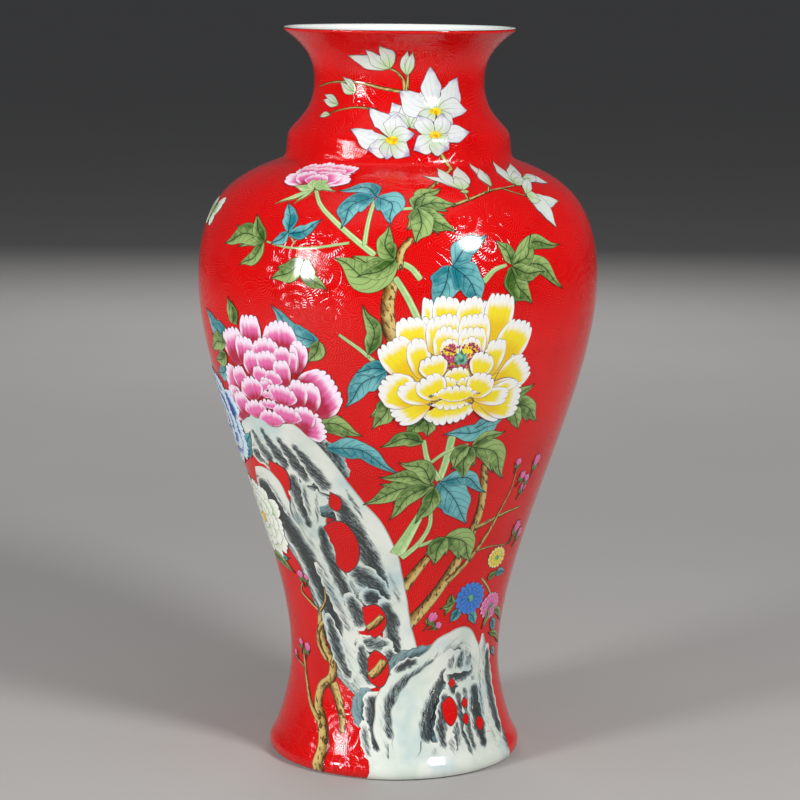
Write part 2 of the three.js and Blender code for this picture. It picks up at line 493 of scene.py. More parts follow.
def rock_paint(pale, slate, ink):
    """A pale wash with dry brush strokes. The tone is 0 to 1 for a ridge that darkens to its right,
    10 to 11 for a soft stroke of ink with no edge of its own, and 20 to 21 for a teal stone."""
    def paint(graph):
        across = graph.mark("across")
        along = graph.mark("along")
        ahead = graph.mark("ahead")
        aside = graph.mark("aside")
        edge = graph.mark("edge")
        tone = graph.mark("tone")
        teal = tone.rise(14, 16)
        soft = tone.rise(5, 6) - teal
        ridge = 1 - soft
        depth = tone - soft * 10 - teal * 20
        run = graph.join(aside * 0.95 + along * 0.36, along * 0.16, depth * 7)
        stroke = graph.noise(0.9, run, detail=5, rough=0.62)
        fine = graph.noise(2.6, run, detail=3, rough=0.6)
        wash = graph.noise(55, detail=3)
        ends = along.least(ahead).rise(0.0, 5.0)
        belly = (1 - across * across) * ends
        dark = (across * 0.55 + depth * 1.0) * ridge + (belly * 1.4 * depth - 0.22) * soft
        shaded = (dark * 1.1 + (stroke - 0.5) * 2.0).rise(-0.1, 0.85)
        inked = (dark + (fine - 0.5) * 2.8 + (stroke - 0.5) * 1.8).rise(0.4, 1.08)
        faded = 1 - soft * (1 - belly.rise(0.0, 0.36))
        shaded = shaded * faded
        inked = inked * faded
        body = graph.mix(wash.rise(0.38, 0.7) * 0.55, pale, srgb(178, 196, 184))
        body = graph.mix(graph.noise(38, detail=3).rise(0.52, 0.72) * 0.5, body, srgb(150, 182, 192))
        body = graph.mix(teal * (wash * 0.5 + 0.45), body, srgb(52, 124, 138))
        shade = graph.mix(shaded * 0.72, body, slate)
        shade = graph.mix(inked * (0.98 - fine.rise(0.3, 0.5) * 0.14), shade, ink)
        weight = across.rise(-0.9, 0.9) * 0.5 + 0.5
        line = edge.fall(0.4, 0.8) * weight * along.least(ahead).rise(3.0, 12.0)
        shade = graph.mix(line * ridge * 0.85, shade, ink)
        return shade, edge.rise(0.0, 0.9) * ridge * 0.4 - inked * 0.06, wash * 0.1
    return paint


def bead_paint(colour, ink):
    def paint(graph):
        brush = graph.noise(500, detail=2)
        shade = graph.mix(brush.rise(0.35, 0.7), colour, ink)
        shade = graph.mix(graph.mark("tone") * 0.5, shade, ink)
        return shade, brush, brush * 0.2
    return paint


INK = srgb(38, 30, 30)
# How each material is painted, from the colours chosen in the panel.
PAINTS = {
    "scratched_red": lambda c: red_paint(tuple(c.red), srgb(244, 52, 46)),
    "clear_white": lambda c: white_paint(tuple(c.white), srgb(214, 226, 220)),
    "bare_clay": lambda c: biscuit_paint(tuple(c.biscuit)),
    "yellow_petal": lambda c: petal_paint(
        srgb(230, 229, 226), tuple(c.yellow), srgb(222, 182, 14), srgb(74, 58, 54),
        (1.7, 6.6, 10.5, 20.0)),
    "pink_petal": lambda c: petal_paint(
        srgb(238, 220, 234), tuple(c.pink), srgb(166, 10, 48), srgb(80, 18, 44),
        (1.2, 6.6, 8.2, 15.0)),
    "blue_petal": lambda c: petal_paint(
        srgb(206, 226, 238), tuple(c.blue), srgb(16, 52, 132), srgb(20, 34, 84),
        (1.0, 5.0, 6.0, 12.0)),
    "pale_petal": lambda c: petal_paint(
        srgb(240, 240, 234), srgb(222, 232, 210), srgb(150, 190, 120), srgb(80, 90, 70),
        (2.0, 7.0, 6.0, 12.0)),
    "magnolia_petal": lambda c: magnolia_paint(
        srgb(212, 216, 218), srgb(168, 198, 128), srgb(176, 176, 196), srgb(58, 50, 70)),
    "green_leaf": lambda c: leaf_paint(tuple(c.leaf), srgb(58, 92, 34), srgb(24, 34, 18), INK),
    "teal_leaf": lambda c: leaf_paint(srgb(112, 176, 178), tuple(c.teal), srgb(12, 44, 56), INK),
    "stem": lambda c: leaf_paint(
        srgb(200, 218, 160), srgb(130, 180, 110), srgb(150, 180, 120), srgb(96, 84, 50)),
    "bark": lambda c: bark_paint(srgb(198, 172, 106), srgb(134, 98, 40), srgb(42, 27, 14)),
    "rock": lambda c: rock_paint(srgb(216, 219, 210), srgb(84, 102, 108), srgb(10, 12, 14)),
    "gold_bead": lambda c: bead_paint(srgb(236, 206, 40), srgb(196, 140, 10)),
    "plum_bead": lambda c: bead_paint(srgb(206, 70, 128), srgb(120, 12, 50)),
    "crimson": lambda c: bead_paint(srgb(170, 12, 22), srgb(128, 6, 16)),
    "green_bead": lambda c: bead_paint(srgb(120, 190, 160), srgb(30, 90, 70)),
}
# Roughness and relief of the surfaces that differ from the painted enamels.
FINISHES = {"scratched_red": (0.05, 1.0), "clear_white": (0.07, 0.15), "bare_clay": (0.6, 0.4)}


def material(name):
    """The named material, made once."""
    found = bpy.data.materials.get(name)
    if found:
        return found
    paint = PAINTS[name](bpy.context.scene.vase_colours)
    return glazed(name, paint, *FINISHES.get(name, ENAMEL_FINISH))


# ---------------------------------------------------------------------------- geometry trees

def geometry_tree(name, sockets):
    """A new geometry tree with its inputs; gives the graph, the inputs by name, and the tree."""
    tree = bpy.data.node_groups.new(name, "GeometryNodeTree")
    tree.interface.new_socket("Geometry", in_out="OUTPUT", socket_type="NodeSocketGeometry")
    for label, kind in sockets:
        tree.interface.new_socket(label, in_out="INPUT", socket_type=kind)
    graph = Graph(tree)
    group = tree.nodes.new("NodeGroupInput")
    given = {socket.name: Value(graph, socket) for socket in group.outputs if socket.name}
    return graph, given, tree


def end_tree(graph, geometry, paint):
    """Ends a tree: smooth faces, real geometry and its material."""
    shaded = graph.add("GeometryNodeSetShadeSmooth", None, {"Geometry": geometry})
    real = graph.add("GeometryNodeRealizeInstances", None, {"Geometry": shaded})
    painted = graph.add("GeometryNodeSetMaterial", None, {"Geometry": real, "Material": paint})
    graph.add("NodeGroupOutput", None, {0: painted})


def round_the_axis(graph, place, angle):
    """Turns a point of the cross-section, (radius, 0, height), about the axis."""
    radius, _, height = graph.split(place)
    return graph.join(radius * angle.sine(), radius * angle.math("COSINE") * -1.0, height)


def line_sample(graph, line, length, output):
    """Reads the cross-section's curve at a length along it."""
    info = graph.add("GeometryNodeObjectInfo", {"transform_space": "ORIGINAL"},
                     {"Object": line}, output="Geometry")
    return graph.add("GeometryNodeSampleCurve", {"mode": "LENGTH"},
                     {"Curves": info, "Length": length}, output=output)


def kept_tree(name, build):
    """The named geometry tree, built the first time that it is asked for."""
    return bpy.data.node_groups.get(name) or build(name)


def turned_wall_tree(name):
    """A band of wall turned on the wheel: a cross-section's line carried round the axis."""
    sockets = (("Line", "NodeSocketObject"), ("From", "NodeSocketFloat"), ("To", "NodeSocketFloat"),
               ("Steps", "NodeSocketInt"), ("Facets", "NodeSocketInt"),
               ("Material", "NodeSocketMaterial"))
    graph, given, tree = geometry_tree(name, sockets)
    inputs = {"Size X": 1.0, "Size Y": 1.0, "Vertices X": given["Facets"] + 1,
              "Vertices Y": given["Steps"] + 1}
    grid = graph.add("GeometryNodeMeshGrid", None, inputs)
    x, y, _ = graph.split(graph.add("GeometryNodeInputPosition"))
    length = given["From"] + (y + 0.5) * (given["To"] - given["From"])
    place = line_sample(graph, given["Line"], length, "Position")
    kept = graph.add("GeometryNodeStoreNamedAttribute", {"data_type": "FLOAT", "domain": "POINT"},
                     {"Geometry": grid, "Name": "rise", "Value": length})
    turned = graph.add("GeometryNodeSetPosition", None,
                       {"Geometry": kept, "Position": round_the_axis(graph, place, x * TURN)})
    closed = graph.add("GeometryNodeMergeByDistance", None, {"Geometry": turned, "Distance": TOUCHING})
    end_tree(graph, closed, given["Material"])
    return tree


def wrap_tree(name):
    """Lays a flat drawing on the wall: across becomes a turn, up becomes a length along the line."""
    sockets = (("Geometry", "NodeSocketGeometry"), ("Line", "NodeSocketObject"),
               ("Material", "NodeSocketMaterial"))
    graph, given, tree = geometry_tree(name, sockets)
    x, y, z = graph.split(graph.add("GeometryNodeInputPosition"))
    place = line_sample(graph, given["Line"], y, "Position")
    run = graph.split(line_sample(graph, given["Line"], y, "Tangent"))
    out = graph.join(run[2], 0.0, run[0] * -1.0)
    radius = graph.split(place)[0]
    meridian = graph.add("GeometryNodeInputNamedAttribute", {"data_type": "FLOAT"},
                         {"Name": "meridian"})
    lifted = graph.vector("ADD", place, graph.vector("MULTIPLY", out, graph.join(z, z, z)))
    wrapped = round_the_axis(graph, lifted, meridian + x / radius)
    moved = graph.add("GeometryNodeSetPosition", None,
                      {"Geometry": given["Geometry"], "Position": wrapped})
    end_tree(graph, moved, given["Material"])
    return tree


def bead_tree(name):
    """Rows of small enamel beads: one flattened grain on each point of the drawing."""
    sockets = (("Geometry", "NodeSocketGeometry"), ("Radius", "NodeSocketFloat"),
               ("Material", "NodeSocketMaterial"))
    graph, given, tree = geometry_tree(name, sockets)
    points = graph.add("GeometryNodeMeshToPoints", None, {"Mesh": given["Geometry"]})
    bead = graph.add("GeometryNodeMeshUVSphere", None,
                     {"Segments": 7, "Rings": 5, "Radius": given["Radius"]})
    vary = graph.add("FunctionNodeRandomValue", {"data_type": "FLOAT"},
                     {2: 0.75, 3: 1.15, "Seed": 7}, output=1)
    inputs = {"Points": points, "Instance": bead, "Scale": graph.join(vary, vary * 1.35, vary * 0.5)}
    beads = graph.add("GeometryNodeInstanceOnPoints", None, inputs)
    end_tree(graph, beads, given["Material"])
    return tree


def grown(name, mesh, steps):
    """An object whose mesh is what the geometry trees make of `mesh`."""
    piece = bpy.data.objects.new(name, mesh)
    bpy.context.scene.collection.objects.link(piece)
    for tree, values in steps:
        modifier = piece.modifiers.new(tree.name, "NODES")
        modifier.node_group = tree
        for item in tree.interface.items_tree:
            if item.in_out == "INPUT" and item.name in values:
                modifier[item.identifier] = values[item.name]
    graph = bpy.context.evaluated_depsgraph_get()
    result = bpy.data.meshes.new_from_object(
        piece.evaluated_get(graph), preserve_all_data_layers=True, depsgraph=graph)
    piece.modifiers.clear()
    piece.data = result
    result.name = name
    if not result.polygons:
        raise RuntimeError(f"{name} came out empty")
    return piece


def line_object(line):
    """The line as a curve that a geometry tree can read; removed again after use."""
    curve = bpy.data.curves.new("wall_line", "CURVE")
    curve.dimensions = "3D"
    spline = curve.splines.new("POLY")
    spline.points.add(len(line.points) - 1)
    for point, (radius, height) in zip(spline.points, line.points):
        point.co = (radius, 0, height, 1)
    helper = bpy.data.objects.new("wall_line", curve)
    bpy.context.scene.collection.objects.link(helper)
    return helper


def put_away(helper):
    curve = helper.data
    bpy.data.objects.remove(helper)
    bpy.data.curves.remove(curve)


def finish_piece(piece, slot, *nodes):
    """Fixes a finished piece to the vase, in place of the CAD nodes it stands for."""
    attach(piece, BODY)
    if nodes:
        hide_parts(*nodes)


def turned_band(name, line, start, end, paint, slot, *nodes, spacing=None):
    """One turned band of the vase, with the wall's own normals so that no joint shows."""
    sizes = bpy.context.scene.vase_sizes
    helper = line_object(line)
    steps = max(2, round((end - start) / (spacing or sizes.ring_spacing)))
    values = {"Line": helper, "From": start, "To": end, "Steps": steps,
              "Facets": sizes.facets, "Material": material(paint)}
    piece = grown(name, bpy.data.meshes.new(name), [(kept_tree("turned_wall", turned_wall_tree), values)])
    put_away(helper)
    mesh = piece.data
    normals = []
    for vertex, length in zip(mesh.vertices, mesh.attributes["rise"].data):
        out = line.out(length.value)
        around = Vector((vertex.co.x, vertex.co.y, 0)).normalized()
        normals.append((around.x * out.x, around.y * out.x, out.y))
    mesh.normals_split_custom_set_from_vertices(normals)
    finish_piece(piece, slot, *nodes)


# ---------------------------------------------------------------------------- the painter's kit

class Drawing:
    """Shapes painted flat and then wrapped on the wall. Later shapes lie over earlier ones."""

    def __init__(self, lift=0.05, layer=0.012):
        self.lift = lift
        self.layer = layer
        self.places = []
        self.faces = []
        self.rims = set()
        self.marks = {name: [] for name in MARKS}

    def place(self, meridian, x, y, height, *values):
        """One point. The values are its marks after the meridian: across to tone."""
        self.places.append((x * MM, y * MM, height * MM))
        for name, value in zip(MARKS, (math.radians(meridian), *values)):
            self.marks[name].append(value)

    def sheet(self, meridian, rows, tone):
        """A sheet of quads with a thin edge that goes down into the wall. A row is a list of
        (x, y, across, aside, along, ahead, edge)."""
        first = len(self.places)
        width, height = len(rows[0]), len(rows)
        for row in rows:
            for x, y, *values in row:
                self.place(meridian, x, y, self.lift, *values, tone)
        for i in range(height - 1):
            for j in range(width - 1):
                a = first + i * width + j
                self.faces.append((a, a + 1, a + width + 1, a + width))
        border = [(0, j) for j in range(width - 1)] + [(i, width - 1) for i in range(height - 1)]
        border += [(height - 1, j) for j in range(width - 1, 0, -1)]
        border += [(i, 0) for i in range(height - 1, 0, -1)]
        self.skirt(meridian, [(first + i * width + j, rows[i][j]) for i, j in border], tone)
        self.lift += self.layer

    def skirt(self, meridian, border, tone):
        """Closes the edge of a shape down into the wall. The border runs counterclockwise."""
        first = len(self.places)
        count = len(border)
        for _, (x, y, *values) in border:
            self.place(meridian, x, y, -SKIRT_DEPTH, *values[:-1], 0, tone)
        for k, (top, _) in enumerate(border):
            following = border[(k + 1) % count][0]
            self.faces.append((top, first + k, first + (k + 1) % count, following))
            self.rims.add((min(top, following), max(top, following)))

    def stroke(self, meridian, spine, width, tone=0.0, columns=BRUSH_COLUMNS, spacing=1.8):
        """A brush stroke along a smooth spine. `width` gives its width from the part along it."""
        line = smooth([Vector(point) for point in spine], spacing)
        run = [0.0]
        for a, b in zip(line, line[1:]):
            run.append(run[-1] + (b - a).length)
        whole = run[-1]
        rows = []
        for i, point in enumerate(line):
            before, after = line[max(i - 1, 0)], line[min(i + 1, len(line) - 1)]
            forward = (after - before).normalized()
            right = Vector((forward.y, -forward.x))
            half = width(run[i] / whole) / 2
            row = []
            for across in columns:
                spot = point + right * (half * across)
                edge = min(half * (1 - abs(across)), run[i] + 0.25, whole - run[i] + 0.25)
                row.append((spot.x, spot.y, across, half * across, run[i], whole - run[i], edge))
            rows.append(row)
        self.sheet(meridian, rows, tone)

    def petal(self, meridian, base, tip, width, tone=0.0, root=0.35, round_off=0.42, lobe=4.0):
        """A scalloped petal from its base to its crown. `root` is the base's part of the width,
        `round_off` how far the crown falls away to its sides, and `lobe` a scallop's width."""
        start, run = Vector(base), Vector(tip) - Vector(base)
        length = run.length
        forward = run.normalized()
        right = Vector((forward.y, -forward.x))
        lobes = max(3, round(width / lobe))
        columns = lobes * 4
        levels = max(6, round(length / 1.8))
        phase = base[0] * 3.1 + base[1] * 1.7
        rows = []
        for i in range(levels + 1):
            level = i / levels
            row = []
            for j in range(columns + 1):
                part = lobes * j / columns
                even = 2 * j / columns - 1
                sway = (1 - part / lobes) * (part / lobes) * 4 / lobes
                across = even + 0.1 * math.sin(math.pi * part + phase) * sway
                bulge = abs(math.sin(math.pi * part)) ** 0.7
                depth = min(1.5, width * 0.08) * (1 + 0.4 * math.sin(math.floor(part) * 2.3 + phase))
                dip = round_off * width * 0.5 * abs(across) ** 3
                crown = length - min(dip, length * 0.5) - depth * (1 - bulge)
                crown += 0.035 * length * math.sin(across * 2.6 + phase)
                sag = 0.22 * root * width * across * across
                opened = root + (1 - root) * math.sin(min(level * 1.25, 1) * math.pi / 2) ** 0.8
                closing = 1 - max(level - 0.6, 0) ** 2
                aside = across * width / 2 * opened * closing
                up = sag * (1 - level) + level * crown
                spot = start + forward * up + right * aside
                ahead = (1 - level) * (crown - sag)
                edge = min(width / 2 * opened * (1 - abs(even)), ahead, level * length)
                row.append((spot.x, spot.y, part, aside, up, ahead, edge))
            rows.append(row)
        self.sheet(meridian, rows, tone)

    def leaf(self, meridian, foot, tip, width, bend=0.0, tone=0.0, notch=0.0, crest=0.72, drip=0.45):
        """A pointed leaf from its foot to its tip. `bend` bows the midrib to its left, `notch`
        cuts the sides into teeth, a higher `crest` puts the widest part nearer the tip, and
        `drip` draws the tip out."""
        start, end = Vector(foot), Vector(tip)
        run = end - start
        left = Vector((-run.y, run.x))
        middle = start + run * 0.48 + left * bend
        late = start + run * 0.82 + left * bend * 0.2

        def across(part):
            bulge = math.sin(math.pi * part ** crest) ** 0.85
            bulge *= 1 - drip * max(part - 0.55, 0) / 0.45
            teeth = 1 - notch * abs(math.sin(part ** 0.85 * math.pi * 2.5 + 0.4)) ** 3
            ripple = 1 + 0.05 * math.sin(part * 17 + foot[0])
            return max(width * bulge * teeth * ripple, 0.35)

        self.stroke(meridian, [start, middle, late, end], across, tone, LEAF_COLUMNS, 1.2)

    def lobed_leaf(self, meridian, foot, tip, width, bend=0.0, tone=0.0):
        """A peony's leaf: a pointed blade, and on a broad one two shorter side lobes behind it."""
        start, run = Vector(foot), Vector(tip) - Vector(foot)
        left = Vector((-run.y, run.x))
        if width > 10:
            for side in (1, -1):
                root = start + run * 0.06 + left * bend * 0.2
                aside = bend * 0.8 + side * width / run.length * 0.5
                point = start + run * (0.66 - 0.06 * side) + left * aside
                self.leaf(meridian, root, point, width * 0.62, -0.12 * side, tone + 0.25 * side)
        self.leaf(meridian, foot, tip, width * 1.02, bend, tone, 0.1)

    def patch(self, meridian, outline, tone=0.0, grow=0.0):
        """A filled shape inside an outline that runs counterclockwise round its middle."""
        corners = [Vector(point) for point in outline]
        middle = sum(corners, Vector((0, 0))) / len(corners)
        line = smooth([*corners, corners[0]], 0.8)[:-1]
        small = sum((point - middle).length for point in line) / len(line)
        line = [middle + (point - middle) * (1 + grow / small) for point in line]
        first, spokes = len(self.places), len(line)
        rings = (1, 0.75, 0.45)
        border = []
        for ring in rings:
            for k, point in enumerate(line):
                x, y = middle + (point - middle) * ring
                edge = small * (1 - ring)
                if ring == 1:
                    border.append((first + k, (x, y, ring, ring, edge, edge, edge)))
                self.place(meridian, x, y, self.lift, ring, ring, edge, edge, edge, tone)
        self.place(meridian, *middle, self.lift, 0, 0, small, small, small, tone)
        for r in range(len(rings) - 1):
            for k in range(spokes):
                a, b = first + r * spokes + k, first + r * spokes + (k + 1) % spokes
                self.faces.append((a, b, b + spokes, a + spokes))
        inner, last = first + (len(rings) - 1) * spokes, first + len(rings) * spokes
        for k in range(spokes):
            self.faces.append((inner + k, inner + (k + 1) % spokes, last))
        self.skirt(meridian, border, tone)
        self.lift += self.layer

    def disc(self, meridian, centre, wide, high, tone=0.0, wobble=0.0):
        """A round dab of enamel."""
        outline = []
        for k in range(12):
            angle = TURN * k / 12
            reach = 1 + wobble * math.sin(angle * 3 + centre[0])
            outline.append((centre[0] + wide / 2 * reach * math.cos(angle),
                            centre[1] + high / 2 * reach * math.sin(angle)))
        self.patch(meridian, outline, tone)

    def bead(self, meridian, x, y, tone=0.0):
        """One point for a bead of enamel."""
        self.place(meridian, x, y, self.lift, 0, 0, 1, 1, 1, tone)

    def mesh(self, name):
        mesh = bpy.data.meshes.new(name)
        mesh.from_pydata(self.places, [], self.faces)
        for edge in mesh.edges:
            edge.use_edge_sharp = (min(edge.vertices), max(edge.vertices)) in self.rims
        for mark in MARKS:
            layer = mesh.attributes.new(mark, "FLOAT", "POINT")
            layer.data.foreach_set("value", self.marks[mark])
        return mesh

    def wrap(self, name, paint, beads=None):
        """Wraps the drawing on the wall as one finished piece."""
        helper = line_object(OUTSIDE)
        steps = []
        if beads:
            values = {"Radius": beads * MM, "Material": material(paint)}
            steps.append((kept_tree("enamel_beads", bead_tree), values))
        values = {"Line": helper, "Material": material(paint)}
        steps.append((kept_tree("wrap_on_wall", wrap_tree), values))
        piece = grown(name, self.mesh(name), steps)
        put_away(helper)
        finish_piece(piece, "painted_enamel")


def tapering(start, end, swell=0.0):
    """A stroke's width, from its start to its end, with a swell in the middle."""
    return lambda part: start + (end - start) * part + swell * math.sin(math.pi * part)


def toward(base, heading, length):
    """The place that far from `base`, its heading in degrees from east."""
    return (base[0] + length * math.cos(math.radians(heading)),
            base[1] + length * math.sin(math.radians(heading)))


def lay_petals(drawing, meridian, centre, petals, fuller=1.0):
    """Petals laid one over another: (base, crown, width, the base's part of the width)."""
    for base, crown, width, root in petals:
        start, end = Vector(centre) + Vector(base), Vector(centre) + Vector(crown)
        tone = min(max((end - start).length / 12 - 0.7, 0), 1)
        drawing.petal(meridian, start, end, width * fuller, tone, root)


def ring_of_petals(drawing, meridian, centre, size, squash, ring, tone):
    """Petals of uneven reach and width, spread round a centre."""
    count, reach, width, start = ring
    for k in range(count):
        heading = math.radians(start + 360 * (k / count))
        direction = Vector((math.cos(heading), math.sin(heading) * squash)) * (reach * size)
        base = Vector(centre) + direction * 0.3
        tip = Vector(centre) + direction * (1 + 0.09 * math.sin(k * 2.4 + count))
        drawing.petal(meridian, base, tip, width * size * (0.94 + 0.1 * math.cos(k * 1.7)), tone)


# ---------------------------------------------------------------------------- painted pieces

# The rock, from its pale masses to the ink over them: (spine, widths along it, tone as the paint
# takes it). The right of a ridge's run is its dark side.
TALL_ROCK = (
    ([(-2, 199), (3, 194), (8, 186), (12, 177)], (5, 9, 9, 5), 0.75),
    ([(3, 197), (9, 189), (11, 182)], (3, 5, 3), 20.6),
    ([(-57, 170), (-47, 167), (-37, 153), (-30, 139), (-22, 125), (-15, 110), (-9, 94), (-3, 78),
      (3, 62), (9, 50)], (14, 22, 22, 22, 20, 20, 20, 22, 24, 24), 0.1),
    ([(4, 122), (10, 112), (18, 104)], (10, 18, 16), 0.2),
    ([(4, 78), (14, 76), (26, 76)], (8, 11, 8), 0.3),
    ([(-13, 178), (-13, 166), (-16, 152), (-14, 138), (-10, 124), (-5, 110), (0, 96), (4, 84)],
     (22, 26, 24, 19, 15, 13, 11, 8), 0.0),
    ([(-8, 154), (0, 155), (9, 152)], (6, 9, 8), 20.65),
    ([(-57, 191), (-47, 196), (-33, 197), (-18, 191), (-6, 181), (4, 170), (13, 158), (20, 145),
      (22, 132), (23, 117), (25, 103), (29, 88), (32, 72), (38, 58)],
     (17, 29, 31, 28, 24, 17, 15, 17, 21, 22, 19, 12, 13, 16), -0.1),
    ([(-56, 184), (-40, 181), (-26, 178), (-12, 172), (-3, 168), (4, 163)], (5, 8, 9, 9, 7, 3), 10.95),
    ([(-51, 200), (-46, 192), (-41, 185), (-33, 180)], (2, 5, 8, 8), 10.8),
    ([(-42, 202), (-36, 193), (-29, 185), (-21, 178)], (2, 5, 8, 9), 10.9),
    ([(-30, 198), (-23, 189), (-16, 180), (-8, 172)], (2, 6, 9, 9), 10.9),
    ([(-20, 195), (-12, 186), (-5, 176), (2, 167)], (2, 6, 8, 7), 10.9),
    ([(-58, 163), (-49, 162), (-41, 155), (-36, 146), (-29, 136), (-22, 126), (-16, 114),
      (-11, 100), (-8, 88), (-5, 74)], (8, 12, 13, 12, 12, 12, 12, 11, 10, 6), 11.1),
    ([(-47, 170), (-38, 160), (-31, 148)], (2, 3, 1), 10.5),
    ([(-24, 177), (-21, 165), (-18, 153), (-15, 141)], (7, 9, 7, 3), 10.95),
    ([(-15, 172), (-15, 160), (-13, 148)], (2, 4, 2), 10.6),
    ([(-7, 168), (-9, 156), (-10, 144)], (1, 3, 1), 10.5),
    ([(-8, 148), (-7, 132), (-3, 118), (2, 104), (4, 92)], (4, 7, 7, 7, 4), 11.0),
    ([(-16, 122), (-8, 106), (-2, 92), (2, 80)], (2, 5, 5, 2), 10.5),
    ([(3, 168), (8, 154), (13, 142), (17, 130), (20, 119), (24, 106)], (5, 10, 10, 11, 10, 5), 11.0),
    ([(9, 172), (14, 160), (18, 150)], (1, 3, 1), 10.55),
    ([(26, 122), (29, 110), (30, 98)], (2, 4, 2), 10.4),
    ([(5, 122), (12, 117), (19, 110), (26, 101)], (8, 12, 9, 3), 10.95),
    ([(10, 108), (16, 104), (22, 101)], (6, 9, 5), 11.1),
    ([(2, 106), (6, 96), (8, 84)], (5, 8, 5), 10.95),
    ([(21, 104), (25, 92), (25, 80), (30, 66)], (5, 8, 7, 3), 11.0),
    ([(6, 79), (14, 77), (25, 77)], (4, 8, 4), 10.8), ([(7, 78), (9, 64), (14, 52)], (3, 7, 4), 10.9),
    ([(21, 76), (25, 64), (24, 54)], (4, 8, 5), 10.95),
    ([(-12, 92), (-8, 76), (-3, 62), (2, 54)], (3, 7, 6, 3), 10.9),
)
FOOT_ROCK = (
    ([(3, 2.6), (3, 12), (4, 24)], (95, 91, 84), -0.6),
    ([(4, 22), (4, 38), (3, 50), (5, 60)], (86, 80, 70, 56), -0.5),
    ([(13, 56), (13, 66), (13, 75)], (32, 27, 16), -0.4),
    ([(47, 6), (42, 20), (37, 34), (34, 48), (31, 62), (30, 77)], (8, 13, 14, 13, 11, 4), 0.25),
    ([(-29, 58), (-22, 67), (-12, 71), (-3, 74), (3, 78)], (8, 11, 10, 7, 3), 20.7),
    ([(-44, 30), (-43, 42), (-38, 51)], (9, 13, 9), 20.6),
    ([(-37, 50), (-36, 34), (-38, 16)], (8, 11, 5), 11.05),
    ([(-43, 34), (-43, 22), (-42, 12)], (3, 5, 2), 10.6),
    ([(-33, 14), (-34, 30), (-32, 44), (-26, 55), (-16, 62), (-5, 69), (5, 76), (13, 78), (19, 72),
      (23, 61), (24, 50)], (4, 8, 8, 8, 8, 9, 11, 13, 13, 11, 7), 0.05),
    ([(-30, 22), (-29, 38), (-26, 49), (-18, 57), (-9, 63), (0, 69)], (3, 6, 7, 6, 5, 2), 10.8),
    ([(-27, 60), (-20, 65), (-11, 68)], (3, 5, 3), 11.0),
    ([(-24, 12), (-20, 26), (-17, 42), (-9, 54), (0, 63), (7, 72)], (12, 17, 19, 16, 13, 6), -0.6),
    ([(5, 64), (0, 52), (-5, 41), (-9, 30), (-10, 20)], (3, 7, 9, 9, 4), 11.0),
    ([(2, 53), (0, 41), (-4, 30), (-6, 20)], (3, 7, 7, 3), 20.6),
    ([(3, 50), (1, 38), (-1, 26), (0, 16)], (3, 6, 6, 2), 10.9),
    ([(2, 57), (12, 58), (24, 60)], (5, 10, 6), 11.15), ([(6, 58), (7, 66), (9, 71)], (5, 4, 1), 10.7),
    ([(11, 58), (13, 67), (15, 73)], (6, 5, 1), 10.8), ([(17, 58), (19, 66), (20, 71)], (6, 4, 1), 10.7),
    ([(5, 54), (9, 49), (11, 44)], (5, 6, 3), 11.1),
    ([(10, 34), (8, 24), (4, 12)], (3, 6, 2), 10.75),
    ([(11, 50), (12, 36), (14, 22), (17, 10)], (3, 5, 4, 1), 10.85),
    ([(15, 52), (17, 38), (17, 24), (20, 12)], (2, 5, 5, 1), 10.75),
    ([(23, 52), (24, 38), (25, 26), (27, 12)], (5, 10, 9, 2), 11.05),
    ([(29, 60), (28, 44), (30, 28)], (1, 3, 1), 10.5),
    ([(35, 70), (36, 56), (38, 42), (41, 28), (45, 16)], (3, 6, 7, 7, 3), 11.0),
    ([(4, 26), (5, 12)], (4, 3), 10.5), ([(-6, 22), (-7, 12)], (4, 3), 10.45),
    ([(34, 26), (38, 12)], (3, 2), 10.4),
)
# Openings worn through the rock: a meridian and an outline.
ROCK_WINDOWS = (
    (-25, ((-38, 181), (-39, 177), (-33, 170), (-26, 165), (-25.5, 176))),
    (-25, ((1, 167), (0, 158), (3, 156), (6, 159), (6, 164))),
    (-25, ((-6, 145), (-1, 149), (6, 149), (11, 142), (12, 131), (8, 122), (3, 119), (-1, 122),
           (-1.5, 132))),
    (-25, ((10, 98), (11, 88), (15, 81), (20, 85), (22, 94), (18, 100))),
    (-25, ((11, 68), (13, 55), (18, 53), (22, 60), (20, 70), (15, 73))),
    (25, ((0.5, 42), (2, 33), (5, 30), (9, 34), (9, 41), (5, 45.5))),
    (25, ((5, 53), (7, 50.5), (9, 53), (7, 55.5))),
    (25, ((13, 41), (15, 38), (17, 41), (15, 43.5))), (25, ((13, 32), (15, 29), (17, 32), (15, 35))),
    (25, ((22, 28), (25, 24), (28, 28), (24.5, 31.5))),
)
# Branches seen through the openings: (spine, width).
BRANCHES_BEHIND = (([(12, 58.5), (16, 62), (20, 68)], 4.6), ([(11.6, 86), (16, 89), (20.5, 94)], 3.6))
# A soft stroke's tone lies between these, and its ink spreads wider than the widths given.
SOFT_TONES = (5, 15)
SOFT_SPREAD = 1.35
# A ridge broader than this is a mass of rock, with blunt ends and calmer sides.
MASS_WIDTH = 30


